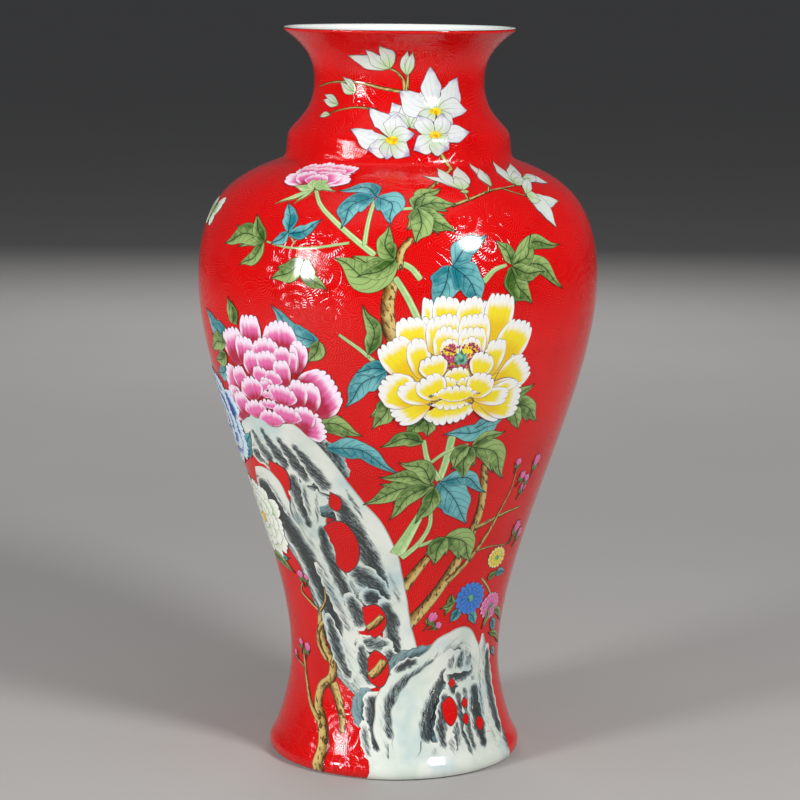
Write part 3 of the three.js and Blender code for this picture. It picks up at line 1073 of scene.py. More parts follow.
def paint_rock():
    rock = Drawing(ROCK_LIFT, 0.006)
    for meridian, ridges in ((-25, TALL_ROCK), (25, FOOT_ROCK)):
        for spine, widths, tone in ridges:
            if SOFT_TONES[0] < tone < SOFT_TONES[1]:
                widths = [wide * SOFT_SPREAD for wide in widths]
            rock.stroke(meridian, spine, rugged(widths), tone, spread_columns(max(widths)), 1.5)
    for meridian, outline in ROCK_WINDOWS:
        rock.patch(meridian, outline, 1.2, grow=0.45)
    rock.wrap("rock", "rock")
    windows = Drawing(rock.lift + GAP)
    for meridian, outline in ROCK_WINDOWS:
        windows.patch(meridian, outline)
    windows.wrap("rock_windows", "scratched_red")
    behind = Drawing(windows.lift + GAP)
    for spine, width in BRANCHES_BEHIND:
        behind.stroke(-25, spine, tapering(width, width, 0.4), 0.6)
    behind.wrap("branches_behind", "bark")


def spread_columns(width):
    """Points across a stroke, close enough together to follow the wall, and closer at its sides."""
    count = max(6, round(width / 2.4))
    inner = [-0.86 + 1.72 * k / count for k in range(count + 1)]
    return (-1, *inner, 1)


def rugged(widths):
    """A ridge's width: uneven, as water-worn stone is, and rounded off at its ends."""
    mass = max(widths) > MASS_WIDTH

    def width(part):
        place = part * (len(widths) - 1)
        i = min(int(place), len(widths) - 2)
        wide = widths[i] + (widths[i + 1] - widths[i]) * (place - i)
        ends = 1.0 if mass else min(1.0, 0.5 + 6 * part, 0.5 + 6 * (1 - part))
        ripple = min(1.0, (0.6 if mass else 1.6) / wide)
        return wide * ends * (1 + ripple * (0.5 * math.sin(part * 23) + 0.5 * math.sin(part * 51 + 1)))
    return width


# Woody branches: (meridian, spine, start width, end width).
BRANCHES = (
    (-1, [(0, 288), (-3, 276), (-2, 262), (3, 250)], 6.5, 8),
    (25, [(10, 184), (12, 170), (12.5, 156), (10, 143), (6, 131), (0, 118), (-8, 104), (-20, 88)], 4.6, 7),
    (25, [(11, 144), (22, 148), (34, 151), (46, 152)], 3, 1.2),
    (25, [(34, 178), (33, 167), (27, 153), (22, 142), (15, 131), (8, 122), (-1, 113)], 1.0, 3.6),
    (25, [(14, 130), (26, 131), (40, 130), (52, 133)], 1.4, 0.8),
    (25, [(-14, 129), (-20, 119), (-25, 110)], 4.5, 6.5),
    (-38, [(2, 3), (2, 20), (-2, 31), (-6, 39), (-5, 48), (2, 55), (3, 62), (-2, 72), (-4, 82), (-3, 92)],
     8, 4),
    (-38, [(3, 52), (8, 42), (11, 34), (13, 26)], 6, 3.5),
    (-38, [(-1, 64), (-6.5, 72), (-6, 80), (-1, 87)], 3, 3),
    (-38, [(2, 63), (6, 72), (5, 82), (0, 93)], 2.6, 1.4),
    (-38, [(-4, 93), (-10, 97), (-16, 102), (-12, 109)], 2.6, 1.2),
    (-38, [(-4, 30), (-12, 38), (-17, 48), (-20, 58), (-21, 66)], 3.6, 1.8),
    (-38, [(-20, 56), (-26, 58), (-31, 59)], 1.8, 1.0),
    (-38, [(-3, 92), (2, 99), (3, 108)], 2.4, 1.0),
)
# Twigs over the shoulder and neck.
TWIGS = (
    (10, [(-2, 404), (-14, 406), (-30, 409), (-46, 409), (-62, 406)], 2.2, 0.9),
    (10, [(-20, 395), (-32, 396), (-43, 394), (-50, 392)], 1.6, 0.8),
    (10, [(-5, 404), (-6, 411), (-11, 416), (-14, 417)], 2.4, 1.2),
    (10, [(-4, 405), (-3.5, 411), (-3.5, 415)], 2.4, 1.4),
    (22, [(-4, 372), (0, 367), (3, 361), (-3, 353), (-10, 345), (-20, 336)], 3.0, 2.0),
    (30, [(-22, 326), (-8, 331), (5, 336), (18, 338), (24, 339)], 2.2, 1.4),
    (30, [(13, 337), (20, 333), (27, 330)], 1.4, 1.0),
    (30, [(3, 335), (6, 340)], 1.6, 1.2),
    (30, [(-11, 330), (-11, 338)], 1.6, 1.4),
    (-1, [(9, 308), (4, 302), (2, 292)], 3.4, 5),
)


def paint_strokes(name, paint, lift, strokes, columns, tone=None):
    """Tapering strokes as one piece. Without a tone, each stroke takes its own."""
    drawing = Drawing(lift)
    for number, (meridian, spine, start, end) in enumerate(strokes):
        shade = number / 10 if tone is None else tone
        drawing.stroke(meridian, spine, tapering(start, end), shade, columns)
    drawing.wrap(name, paint)


def paint_branches():
    paint_strokes("branches", "bark", WOOD_LIFT, BRANCHES, BRUSH_COLUMNS)
    paint_strokes("twigs", "bark", WOOD_LIFT, TWIGS, (-1, -0.7, 0, 0.7, 1))


# Green stems: (meridian, spine, start width, end width).
STEMS = (
    (-30, [(1, 336), (8, 326), (20, 316), (31, 308), (44, 299)], 2.2, 3.2),
    (-30, [(36, 330), (37, 318), (38, 304)], 2.2, 2.6),
    (-30, [(-18, 303), (-5, 301), (10, 301.5), (30, 305)], 1.2, 1.6),
    (-30, [(-4, 308), (0, 303)], 1.0, 1.2),
    (-30, [(50, 324), (59, 325)], 2.0, 2.0),
    (30, [(-56, 296), (-50, 293), (-45, 287)], 3.0, 3.4),
    (30, [(-58, 288), (-52, 278), (-46, 266)], 3.4, 3.8),
    (30, [(-12, 285), (-5, 291), (2, 293)], 3.4, 1.8),
    (17, [(-62, 258), (-50, 250), (-38, 240)], 1.6, 2.6),
    (17, [(-46, 256), (-46, 246)], 1.2, 1.6),
    (25, [(-12, 202), (-13, 188), (-15, 176)], 4.6, 4.0),
    (25, [(-27, 200), (-23, 188), (-15, 176)], 2.6, 3.4),
    (25, [(-22, 186), (-13, 193), (-2, 196)], 2.0, 2.4),
    (25, [(-21, 158), (-26, 144), (-31, 131)], 4.0, 8.0),
    (25, [(-17, 160), (-16, 148), (-20, 138), (-28, 129)], 2.2, 3.2),
    (25, [(-20, 136), (-12, 139), (-4, 140)], 2.2, 2.0),
    (25, [(22, 112), (28, 106), (34, 98)], 1.2, 1.2),
)


def paint_stems():
    paint_strokes("green_stems", "stem", STEM_LIFT, STEMS, (-1, -0.6, 0, 0.6, 1), 0.3)


# Leaves: (meridian, foot, tip, width, bend).
UPPER_GREEN_LEAVES = (
    (-30, (-19, 303), (-53, 299), 12, -0.14), (-30, (-19, 303), (-30, 317), 9, 0.1),
    (-30, (-20, 303), (-37, 289), 8, 0.15),
    (-30, (6, 296), (-13, 284), 11, 0.12), (-30, (8, 296), (21, 280), 9, -0.2),
    (-30, (56, 296), (23, 297), 17, 0.26), (-30, (54, 297), (48, 315), 10, 0.16),
    (-30, (55, 297), (36, 288), 9, 0.1),
    (30, (-38, 325), (-22, 339), 9, 0.16), (30, (-40, 325), (-19, 327), 11, 0.1),
    (30, (-40, 325), (-24, 311), 12, -0.08), (30, (-40, 325), (-46, 305), 13, 0.1),
    (30, (-42, 324), (-32, 335), 6, 0.1),
    (30, (5, 292), (42, 301), 9, 0.2), (30, (5, 293), (-3, 306), 8, -0.12),
    (30, (5, 292), (42, 278), 10, 0.16), (30, (4, 292), (18, 272), 14, -0.1),
    (30, (6, 293), (20, 308), 9, -0.2), (30, (5, 292), (27, 288), 9, -0.1),
    (17, (-46, 248), (-50, 274), 9, -0.16),
    (-42, (38, 254), (30, 242), 9, 0.1), (-42, (-16, 258), (-24, 272), 8, 0.1),
    (-42, (-20, 258), (-20, 270), 8, -0.1), (-42, (-30, 246), (-52, 240), 11, -0.1),
    (-42, (-32, 240), (-48, 234), 9, 0.1),
)
LOWER_GREEN_LEAVES = (
    (17, (-34, 226), (-41, 206), 12, 0.12), (17, (-12, 212), (-24, 202), 10, -0.1),
    (17, (-14, 212), (-12, 202), 9, 0.1), (17, (32, 216), (50, 228), 7, 0.1),
    (17, (36, 218), (56, 205), 12, 0.12), (17, (34, 216), (42, 202), 10, 0.05),
    (-42, (26, 206), (52, 202), 12, 0.16),
    (25, (-27, 199), (-49, 196), 9, -0.16),
    (25, (0, 195), (24, 173), 14, 0.2), (25, (0, 195), (20, 202), 7, 0.1),
    (25, (0, 195), (-2, 176), 13, -0.12), (25, (-2, 196), (-9, 182), 9, -0.14),
    (25, (-17, 173), (-53, 161), 14, -0.1), (25, (-19, 173), (-47, 178), 9, -0.12),
    (25, (-19, 174), (-38, 187), 10, -0.2), (25, (-19, 173), (-38, 152), 10, -0.14),
    (25, (-17, 172), (-24, 150), 10, 0.1),
    (25, (-6, 141), (12, 124), 15, 0.2), (25, (-6, 141), (-10, 124), 12, -0.1),
    (25, (3, 105), (0, 92), 5, 0.1), (25, (5, 100), (-3, 97), 4, 0.1),
    (25, (38, 90), (52, 80), 5, 0.1), (25, (27, 110), (36, 114), 4, 0.1),
    (25, (32, 92), (28, 80), 4, 0.1), (25, (36, 76), (54, 66), 4, 0.1),
    (-66, (-10, 118), (14, 112), 7, 0.1),
)
TEAL_LEAVES = (
    (-30, (-5, 309), (-11, 326), 8.5, -0.08), (-30, (-5, 308), (13, 317), 7, -0.12),
    (-30, (-5, 309), (-15, 302), 6, 0.1),
    (-30, (36, 332), (14, 336), 9, -0.25), (-30, (35, 332), (24, 312), 13, -0.24),
    (-30, (36, 332), (49, 315), 13, 0.22),
    (30, (-30, 294), (-39, 272), 15, 0.06), (30, (-29, 294), (-13, 272), 15, 0.1),
    (30, (-28, 294), (-7, 309), 11, 0.1),
    (-42, (38, 253), (10, 271), 11, 0.14), (-42, (-24, 250), (-54, 262), 12, 0.12),
    (-42, (-34, 232), (-50, 226), 10, 0.1),
    (17, (-36, 239), (-56, 218), 13, -0.14), (17, (-36, 240), (-52, 238), 8, -0.1),
    (17, (28, 212), (-4, 203), 11, 0.14), (17, (30, 211), (14, 206), 8, -0.1),
    (-25, (3, 194), (40, 180), 11, 0.16),
    (25, (-15, 175), (5, 148), 18, 0.05), (25, (-14, 175), (14, 166), 9, 0.2),
    (25, (8, 96), (4, 88), 6, 0.1), (25, (16, 92), (22, 84), 6, 0.1), (25, (34, 112), (44, 112), 5, 0.1),
    (25, (37, 84), (42, 74), 6, 0.1), (25, (40, 66), (46, 60), 4, 0.1),
    (-66, (-6, 116), (12, 120), 6, 0.1), (-78, (20, 178), (34, 196), 9, 0.1),
)


def paint_leaves():
    groups = (("upper_green_leaves", "green_leaf", UPPER_GREEN_LEAVES),
              ("lower_green_leaves", "green_leaf", LOWER_GREEN_LEAVES),
              ("teal_leaves", "teal_leaf", TEAL_LEAVES))
    for name, paint, leaves in groups:
        drawing = Drawing(LEAF_LIFT, 0.007)
        for number, (meridian, foot, tip, width, bend) in enumerate(leaves):
            tone = 0.3 * math.sin(number * 2.1)
            if paint == "green_leaf":
                drawing.lobed_leaf(meridian, foot, tip, width, bend, tone)
            else:
                drawing.leaf(meridian, foot, tip, width * 1.12, bend, tone, 0.12)
        drawing.wrap(name, paint)


# How many stamens are scattered over a heart, before those outside its shape are dropped.
STAMENS_TRIED = 330


def peony_heart(name, meridian, centre, wide, high, lift):
    """Stamens crowded round a green pistil."""
    pistil = Drawing(lift)
    for heading, length in ((150, 4), (30, 4), (115, 6.5), (65, 6.5), (90, 8)):
        base = (centre[0], centre[1] - 4)
        pistil.leaf(meridian, base, toward(base, heading, length), 3.6)
    pistil.wrap(name + "_pistil", "green_bead")
    stamens = Drawing(lift + 0.05)
    chance = random.Random(11)
    for _ in range(STAMENS_TRIED):
        x = chance.uniform(-1, 1) * wide / 2
        y = chance.uniform(-1, 1) * high / 2
        side = abs(x) / (wide / 2)
        taken = side > 0.3 or y < -high * 0.33 or y > high * 0.3
        if taken and abs(y) < high / 2 * (1 - 0.45 * side ** 4) and (y < high * 0.42 or side > 0.3):
            stamens.bead(meridian, centre[0] + x, centre[1] + y, chance.random())
    stamens.wrap(name + "_stamens", "plum_bead", beads=0.5)


# Petals from the back of the flower to its front: (base, crown, width, base's part of the width).
YELLOW_BACK = (
    ((-17, 12), (-17, 35), 6, 0.7), ((14, 15), (14.5, 33), 5, 0.7), ((-17, 4), (-17.5, 25), 5, 0.7),
    ((-6, 14), (-7.5, 36), 15, 0.8), ((5, 14), (6, 35), 15, 0.8),
    ((18, 8), (24, 36.5), 17, 0.42), ((20, -6), (38, 21), 19, 0.3),
    ((-20, 6), (-28, 25), 16, 0.45), ((-19, -10), (-37, 13), 19, 0.4),
    ((22, -14), (34, 3), 5, 0.5), ((22, -14), (43, -2), 18, 0.3), ((-17, -8), (-23, 13.5), 12, 0.5),
    ((17, -8), (22.5, 12.5), 12, 0.5),
    ((-8, 4), (-9, 27), 17.5, 0.85), ((8, 4), (8, 27), 17, 0.85),
    ((-6, 2), (-7, 20), 14, 0.85), ((7, 2), (7.5, 20), 15, 0.85),
    ((-4, 2), (-5.5, 13.5), 10, 0.8), ((6, 2), (7, 14), 12, 0.8),
)
YELLOW_FRONT = (
    ((-3, -20), (-1, -34), 27, 0.6), ((-13, -20), (-31, -30), 15, 0.45), ((10, -22), (28, -31), 10, 0.5),
    ((12, -18), (40, -23), 22, 0.35), ((16, -17), (36, -12), 6, 0.4), ((-20, -21), (-38, -9), 19, 0.45),
    ((-12, -20), (-29, -12), 12, 0.4), ((10, -19), (31, -19.5), 10, 0.45),
    ((-2, -18.5), (-2, -26), 23, 0.8),
    ((0, -10), (0, -1.5), 13, 0.7), ((-5, -14), (-5, -6.5), 10, 0.7), ((6, -14), (6, -6.5), 11, 0.7),
    ((-10, -8), (-15, 5), 14, 0.55), ((12, -8), (14, 6), 13, 0.6),
    ((-8, -19), (-17, -6), 15, 0.5), ((9, -19), (17, -6), 15, 0.5), ((0, -21), (0, -11.5), 26, 0.8),
)


def petal_ground(name, paint, meridian, dabs):
    """Plain colour under a flower's petals; gives the lift of what is laid over it."""
    ground = Drawing(GROUND_LIFT)
    for middle, wide, high in dabs:
        ground.disc(meridian, middle, wide, high)
    ground.wrap(name, paint)
    return ground.lift + GAP


def paint_yellow_peony():
    at, centre = 17, (0, 243)
    dabs = (((0, 241), 54, 40), ((0, 232), 50, 24), ((20, 240), 30, 30))
    back = Drawing(petal_ground("yellow_peony_ground", "gold_bead", at, dabs))
    lay_petals(back, at, centre, YELLOW_BACK, 1.06)
    back.wrap("yellow_peony_back", "yellow_petal")
    peony_heart("yellow_peony", at, (1.5, 247), 21, 14, back.lift)
    front = Drawing(back.lift + 0.3)
    lay_petals(front, at, centre, YELLOW_FRONT, 1.1)
    front.wrap("yellow_peony_front", "yellow_petal")


PINK_PETALS = (
    ((-24, -12), (-36, -2), 14, 0.5), ((-22, -26), (-40, -17), 18, 0.5), ((-18, 2), (-25, 23), 17, 0.5),
    ((-6, 10), (-6, 32), 13, 0.8), ((14, 8), (14.5, 30), 18, 0.7), ((22, 2), (27, 20), 9, 0.35),
    ((22, 2), (22.5, 18), 4, 0.7), ((18, -20), (43, 0), 21, 0.4), ((17, -28), (33, -26), 15, 0.5),
    ((-12, 2), (-12, 20), 13, 0.75), ((19, 2), (20, 14), 7, 0.7), ((4, 4), (4.5, 20.5), 17, 0.8),
    ((14, 4), (15, 16.5), 9, 0.7), ((24, -21), (30, -2.5), 10, 0.45), ((18, -18), (21, -1), 11, 0.5),
    ((-20, -12), (-22, 2), 11, 0.6), ((-6, -3), (-8, 12), 13, 0.75), ((3, -2), (4, 13.5), 12, 0.75),
    ((13, -6), (13, 9.5), 9, 0.65), ((-22, -28), (-27, -13), 12, 0.5), ((20, -29), (22.5, -16), 11, 0.6),
    ((-2, -6), (-3, 4), 10, 0.7), ((6, -6), (7, 2.5), 10, 0.7), ((1, -7), (1.5, -1.5), 7.5, 0.7),
    ((0, -9.5), (-3, -4), 7, 0.7), ((5, -10), (5, -5), 7.5, 0.7), ((4, -15), (4, -10.5), 6, 0.7),
    ((-1, -14), (-1, -9), 8.5, 0.7), ((0, -20), (0, -14), 15, 0.7), ((-11, -17), (-13.5, -3), 16, 0.6),
    ((9, -17), (12, -4.5), 15, 0.6), ((-12, -27), (-14, -16), 16, 0.7), ((10, -27), (12, -16), 15, 0.7),
    ((-1, -30.5), (-1, -20.5), 16, 0.75),
)


def paint_pink_peony():
    at = -42
    dabs = (((-2, 234), 52, 38), ((2, 222), 56, 34), ((-12, 244), 26, 18))
    flower = Drawing(petal_ground("pink_peony_ground", "crimson", at, dabs))
    lay_petals(flower, at, (0, 233), PINK_PETALS, 1.28)
    flower.wrap("pink_peony", "pink_petal")


# The peony on the shoulder is seen from its side, with its calyx below.
SHOULDER_PETALS = (
    ((-6, 6), (-18, 8), 10, 0.5), ((2, 6), (17, 9), 11, 0.5), ((-8, 4), (-14, 15), 11, 0.6),
    ((8, 4), (14, 16), 11, 0.6), ((-2, 4), (-4, 18), 14, 0.7), ((4, 5), (6, 17), 11, 0.7),
    ((-10, 4), (-10, 12), 12, 0.7), ((6, 4), (8, 12), 13, 0.7), ((-1, 3), (-1, 13), 12, 0.7),
    ((2, 3), (2, 8.5), 10, 0.7), ((0, -3), (-21, -1), 12, 0.4), ((0, -3), (19, 1), 12, 0.4),
    ((-2, -5), (-12, 6), 13, 0.55), ((2, -5), (12, 6), 13, 0.55), ((0, -6), (0, 4.5), 15, 0.6),
)
# Its sepals: (tip, width).
SEPALS = (
    ((-19, 324), 3.2), ((-7, 325), 2.4), ((13, 335), 2.6), ((-13, 337), 5.5), ((9, 338), 5.5),
    ((-5, 344), 7), ((5, 344), 7), ((0, 345), 5),
)


def paint_shoulder_peony():
    at = -30
    flower = Drawing(PEONY_LIFT)
    lay_petals(flower, at, (-3, 345), SHOULDER_PETALS)
    flower.wrap("shoulder_peony", "pink_petal")
    sepals = Drawing(flower.lift + 0.05)
    for tip, width in SEPALS:
        sepals.leaf(at, (0, 337), tip, width, 0.06)
    sepals.wrap("shoulder_peony_sepals", "stem")


# Peonies seen full face: (name, paint, meridian, centre, size, squash, tone).
SIDE_PEONIES = (
    ("blue_peony", "blue_petal", -82, (0, 200), 1.2, 0.78, 1.4),
    ("pale_peony", "pale_petal", -70, (0, 142), 0.8, 1.0, 0.0),
)
BACK_PEONIES = (
    ("back_peony_1", "pink_petal", 180, (-6, 268), 1.3, 0.84, 0.4),
    ("back_peony_2", "yellow_petal", 180, (24, 128), 0.86, 0.84, 0.4),
    ("back_peony_3", "pale_petal", 112, (-10, 156), 0.8, 0.84, 0.4),
    ("back_peony_4", "pink_petal", -130, (12, 158), 0.8, 0.84, 0.4),
)


# Their rings from the outermost: (petals, reach, width, the first one's heading).
PEONY_RINGS = ((11, 30, 17, 90), (10, 23, 14, 70), (8, 16, 11, 90), (5, 9, 8, 60))


def open_peony(name, paint, meridian, centre, size, squash, tone):
    """Rings of petals round a golden heart."""
    flower = Drawing(PEONY_LIFT)
    for ring in PEONY_RINGS:
        ring_of_petals(flower, meridian, centre, size, squash, ring, tone)
    flower.wrap(name, paint)
    heart = Drawing(flower.lift + 0.03)
    heart.disc(meridian, centre, 8 * size, 8 * size * squash, 0.0, 0.15)
    heart.wrap(name + "_heart", "gold_bead")


def paint_side_peonies():
    for peony in SIDE_PEONIES:
        open_peony(*peony)


# Magnolias: (meridian, heart, petal tips with widths, whether the golden heart shows).
MAGNOLIAS = (
    (10, (-4, 384), (((-12, 399), 10), ((1, 400), 10), ((-18, 391), 9), ((8, 390), 9)), False),
    (10, (11, 394), (((-8, 405), 13), ((8, 418), 10), ((25, 412), 12), ((31, 394), 10), ((20, 384), 8),
                     ((4, 386), 9)), True),
    (10, (-14, 376), (((-36, 382), 10), ((-24, 396), 10), ((-10, 393), 11), ((-27, 371), 9),
                      ((-17, 366), 8), ((-5, 368), 9), ((-2, 380), 9)), True),
    (10, (9, 379), (((30, 380), 10), ((15, 393), 9), ((1, 392), 10), ((-3, 371), 10),
                    ((16, 371), 12)), True),
)
# Buds and half-open flowers: (meridian, foot, petal tips with widths).
MAGNOLIA_BUDS = (
    (10, (-13, 417), (((-37, 424), 8), ((-27, 428), 7), ((-20, 431), 8))),
    (10, (-4, 413), (((-5, 428), 5), ((-2, 427), 5))),
    (10, (-32, 404), (((-42, 409), 5.5), ((-40, 412), 4))),
    (10, (-43, 397), (((-56, 399), 5), ((-55, 402), 4))),
    (10, (-49, 391), (((-58, 389), 3.6),)),
    (30, (-11, 337), (((-26, 351), 6), ((-14, 360), 8), ((-2, 361), 9), ((-9, 350), 8), ((-11, 334), 5))),
    (30, (7, 339), (((7, 364), 6), ((10, 358), 6))),
    (30, (24, 339), (((25, 364), 7), ((40, 360), 10), ((34, 352), 9), ((36, 342), 7))),
    (30, (34, 344), (((56, 337), 8), ((50, 344), 7))),
    (30, (27, 331), (((40, 344), 7), ((53, 324), 9), ((41, 310), 11), ((36, 326), 9))),
)


def paint_magnolias():
    bloom = Drawing(BLOOM_LIFT)
    hearts = []
    for number, (meridian, heart, petals, golden) in enumerate(MAGNOLIAS):
        for k, (tip, width) in enumerate(petals):
            bend = 0.13 * math.sin(k * 2.0 + number)
            bloom.leaf(meridian, heart, tip, width * 1.14, bend, 0.1, crest=1.1, drip=0.3)
        if golden:
            hearts.append((meridian, heart))
    bloom.wrap("neck_magnolias", "magnolia_petal")
    buds = Drawing(BLOOM_LIFT, 0.007)
    for number, (meridian, foot, petals) in enumerate(MAGNOLIA_BUDS):
        for k, (tip, width) in enumerate(petals):
            bend = 0.1 * math.sin(k * 2.3 + number)
            buds.leaf(meridian, foot, tip, width, bend, 0.4, crest=0.9, drip=0.35)
    buds.wrap("magnolia_buds", "magnolia_petal")
    gold = Drawing(bloom.lift + GAP)
    for meridian, heart in hearts:
        gold.disc(meridian, heart, 6.5, 4.2, wobble=0.12)
    gold.wrap("magnolia_hearts", "gold_bead")


# Small daisies: (paint, meridian, centre, width, height).
DAISIES = (
    ("yellow_petal", 25, (32, 123), 15.5, 13.5),
    ("blue_petal", 25, (16, 101), 21, 20),
    ("pink_petal", 25, (34, 93), 19, 16),
)


def paint_daisies():
    for number, (paint, meridian, (x, y), wide, high) in enumerate(DAISIES):
        flower = Drawing(BLOOM_LIFT, 0.008)
        for ring, (reach, count) in enumerate(((1.0, 16), (0.66, 12))):
            for k in range(count):
                angle = TURN * (k + ring / 2) / count
                east, north = math.cos(angle), math.sin(angle)
                tip = (x + wide / 2 * reach * east, y + high / 2 * reach * north)
                base = (x + wide * 0.06 * east, y + high * 0.06 * north)
                flower.petal(meridian, base, tip, wide * 0.2 * reach, -1.0, 0.4, 0.9, 2)
        flower.wrap(f"daisy_{number + 1}", paint)
        heart = Drawing(flower.lift + GAP)
        heart.disc(meridian, (x, y), wide * 0.22, high * 0.2, 0.6)
        heart.wrap(f"daisy_{number + 1}_heart", "green_bead")


# Small pink buds with green cups: (meridian, foot, tip).
PINK_BUDS = (
    (25, (33, 178), (35, 184)), (25, (38, 169), (42, 175)), (25, (41, 161), (45, 168)),
    (25, (44, 166), (46, 173)), (25, (50, 174), (54, 184)), (25, (44, 134), (50, 143)),
    (25, (50, 130), (56, 137)), (-25, (1, 138), (4, 146)), (-25, (5, 132), (9, 138)),
    (25, (-9, 88), (-5, 95)), (25, (-6, 86), (-1, 88)), (-38, (-13, 108), (-15, 115)),
    (-38, (-10, 108), (-9, 113)), (-38, (-23, 66), (-24, 72)), (-38, (-18, 64), (-16, 71)),
    (-38, (-29, 60), (-33, 63)),
)


def paint_buds():
    petals, cups = Drawing(), Drawing()
    for number, (meridian, foot, tip) in enumerate(PINK_BUDS):
        step = 0.05 * (number % 2)
        petals.lift, cups.lift = BUD_LIFT + step, CUP_LIFT + step
        run = Vector(tip) - Vector(foot)
        aim = math.degrees(math.atan2(run.y, run.x))
        for turn, part in ((-14, 0.9), (14, 0.9), (0, 1)):
            point = toward(foot, aim + turn, run.length * part)
            petals.petal(meridian, foot, point, 2.8, -1.2, 0.5, 0.9, 2)
        for turn in (-38, 38):
            cups.leaf(meridian, foot, toward(foot, aim + turn, run.length * 0.6), 2.4)
        cups.stroke(meridian, [Vector(foot) - run * 0.5, foot], tapering(0.7, 0.9), 0.2, (-1, 0, 1))
    petals.wrap("pink_buds", "pink_petal")
    cups.wrap("bud_cups", "green_leaf")


# The sprays round the back: branches as (spine, start width, end width), and leaves as (foot, tip,
# width).
TALL_SPRAY = (
    (([(-40, 92), (-30, 122), (-22, 158), (-4, 200), (12, 238), (34, 270), (46, 300)], 7, 2.2),
     ([(-4, 200), (-30, 226), (-54, 240)], 3.4, 1.6), ([(-22, 158), (8, 168), (38, 162)], 3.0, 1.4),
     ([(-30, 122), (-52, 136), (-66, 140)], 2.4, 1.2), ([(34, 270), (10, 300), (-16, 316)], 2.4, 1.2)),
    (((-54, 240), (-84, 256), 15), ((-54, 240), (-80, 226), 12), ((-54, 240), (-60, 266), 11),
     ((46, 300), (74, 312), 14), ((46, 300), (52, 324), 11), ((46, 300), (70, 290), 11),
     ((38, 162), (70, 172), 15), ((38, 162), (66, 146), 12), ((38, 162), (44, 186), 10),
     ((-66, 140), (-88, 152), 12), ((-66, 140), (-84, 124), 11), ((12, 238), (46, 232), 14),
     ((-22, 158), (-50, 172), 13), ((-30, 122), (-8, 132), 10), ((-16, 316), (-38, 328), 12),
     ((-16, 316), (-30, 302), 10), ((-40, 92), (-60, 84), 11), ((-40, 92), (-18, 84), 10)),
)
SHORT_SPRAY = (
    (([(-14, 176), (-4, 206), (2, 240), (18, 268)], 3.0, 1.6),
     ([(-4, 206), (16, 218), (30, 220)], 1.8, 1.0)),
    (((18, 268), (40, 284), 14), ((18, 268), (10, 292), 11), ((18, 268), (40, 258), 11),
     ((30, 220), (50, 230), 12), ((30, 220), (46, 206), 11), ((-4, 206), (-28, 218), 12),
     ((2, 240), (-22, 252), 12), ((-14, 176), (-32, 166), 11)),
)
# Where each spray is painted: (meridian, 1 or -1 for its mirror image, the spray).
BACK_SPRAYS = ((180, 1, TALL_SPRAY), (112, 1, SHORT_SPRAY), (-130, -1, SHORT_SPRAY))
BACK_TWIGS = ([(-30, 362), (-14, 372), (0, 380)], [(0, 380), (14, 392), (20, 404)])
# Magnolias on the far side of the neck: (heart, size, petals).
BACK_MAGNOLIAS = (((0, 384), 15, 6), ((21, 408), 10, 5), ((-30, 366), 10, 5))


def paint_back():
    """The far side: peonies among leaves, and magnolias on the neck, smaller and plainer."""
    wood = Drawing(WOOD_LIFT)
    leaves = Drawing(BACK_LEAF_LIFT, 0.006)
    for at, side, (branches, blades) in BACK_SPRAYS:
        for spine, start, end in branches:
            wood.stroke(at, [(side * x, y) for x, y in spine], tapering(start, end), 0.4)
        for number, (foot, tip, width) in enumerate(blades):
            root, point = ((side * x, y) for x, y in (foot, tip))
            leaves.lobed_leaf(at, root, point, width, 0.12 * math.sin(number * 1.9), 0.1)
    for spine in BACK_TWIGS:
        wood.stroke(180, spine, tapering(2.6, 1.6), 0.3)
    wood.wrap("back_branches", "bark")
    leaves.wrap("back_leaves", "green_leaf")
    for peony in BACK_PEONIES:
        open_peony(*peony)
    bloom = Drawing(BLOOM_LIFT)
    for heart, size, count in BACK_MAGNOLIAS:
        for k in range(count):
            tip = toward(heart, 360 * k / count + 20, size)
            bloom.leaf(180, heart, tip, size * 0.72, 0.1 * math.sin(k * 2.0), 0.1, crest=1.1, drip=0.3)
    bloom.wrap("back_magnolias", "magnolia_petal")


def paint_butterfly():
    at, middle = -78, (0, 312)
    wings = Drawing(BLOOM_LIFT)
    for heading, length, width in ((35, 15, 11), (150, 15, 11), (-25, 10, 8), (205, 10, 8)):
        wings.petal(at, middle, toward(middle, heading, length), width, root=0.2)
    wings.wrap("butterfly_wings", "pale_petal")
    body = Drawing(BLOOM_LIFT + 0.15)
    body.leaf(at, (-1, 306), (2, 319), 2.2)
    body.wrap("butterfly_body", "bark")


# ---------------------------------------------------------------------------- the turned body

def turn_wall():
    """The red outside, one band for each thrown section."""
    bands = (
        ("wall_foot", "foot_section", "waist_slip_ring"),
        ("wall_waist", "waist_section", "body_slip_ring"),
        ("wall_belly", "belly_section", "belly_slip_ring"),
        ("wall_shoulder", "shoulder_section", "neck_slip_ring"),
        ("wall_neck", "neck_section", None),
    )
    start = FOOT_LINE
    for name, section, joint in bands:
        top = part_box(joint or section)[1].z
        end = OUTSIDE.length_at(top) if joint else LIP_LINE
        nodes = [section] + ([joint] if joint else [])
        turned_band(name, OUTSIDE, start, end, "scratched_red", "red_enamel", *nodes)
        start = end


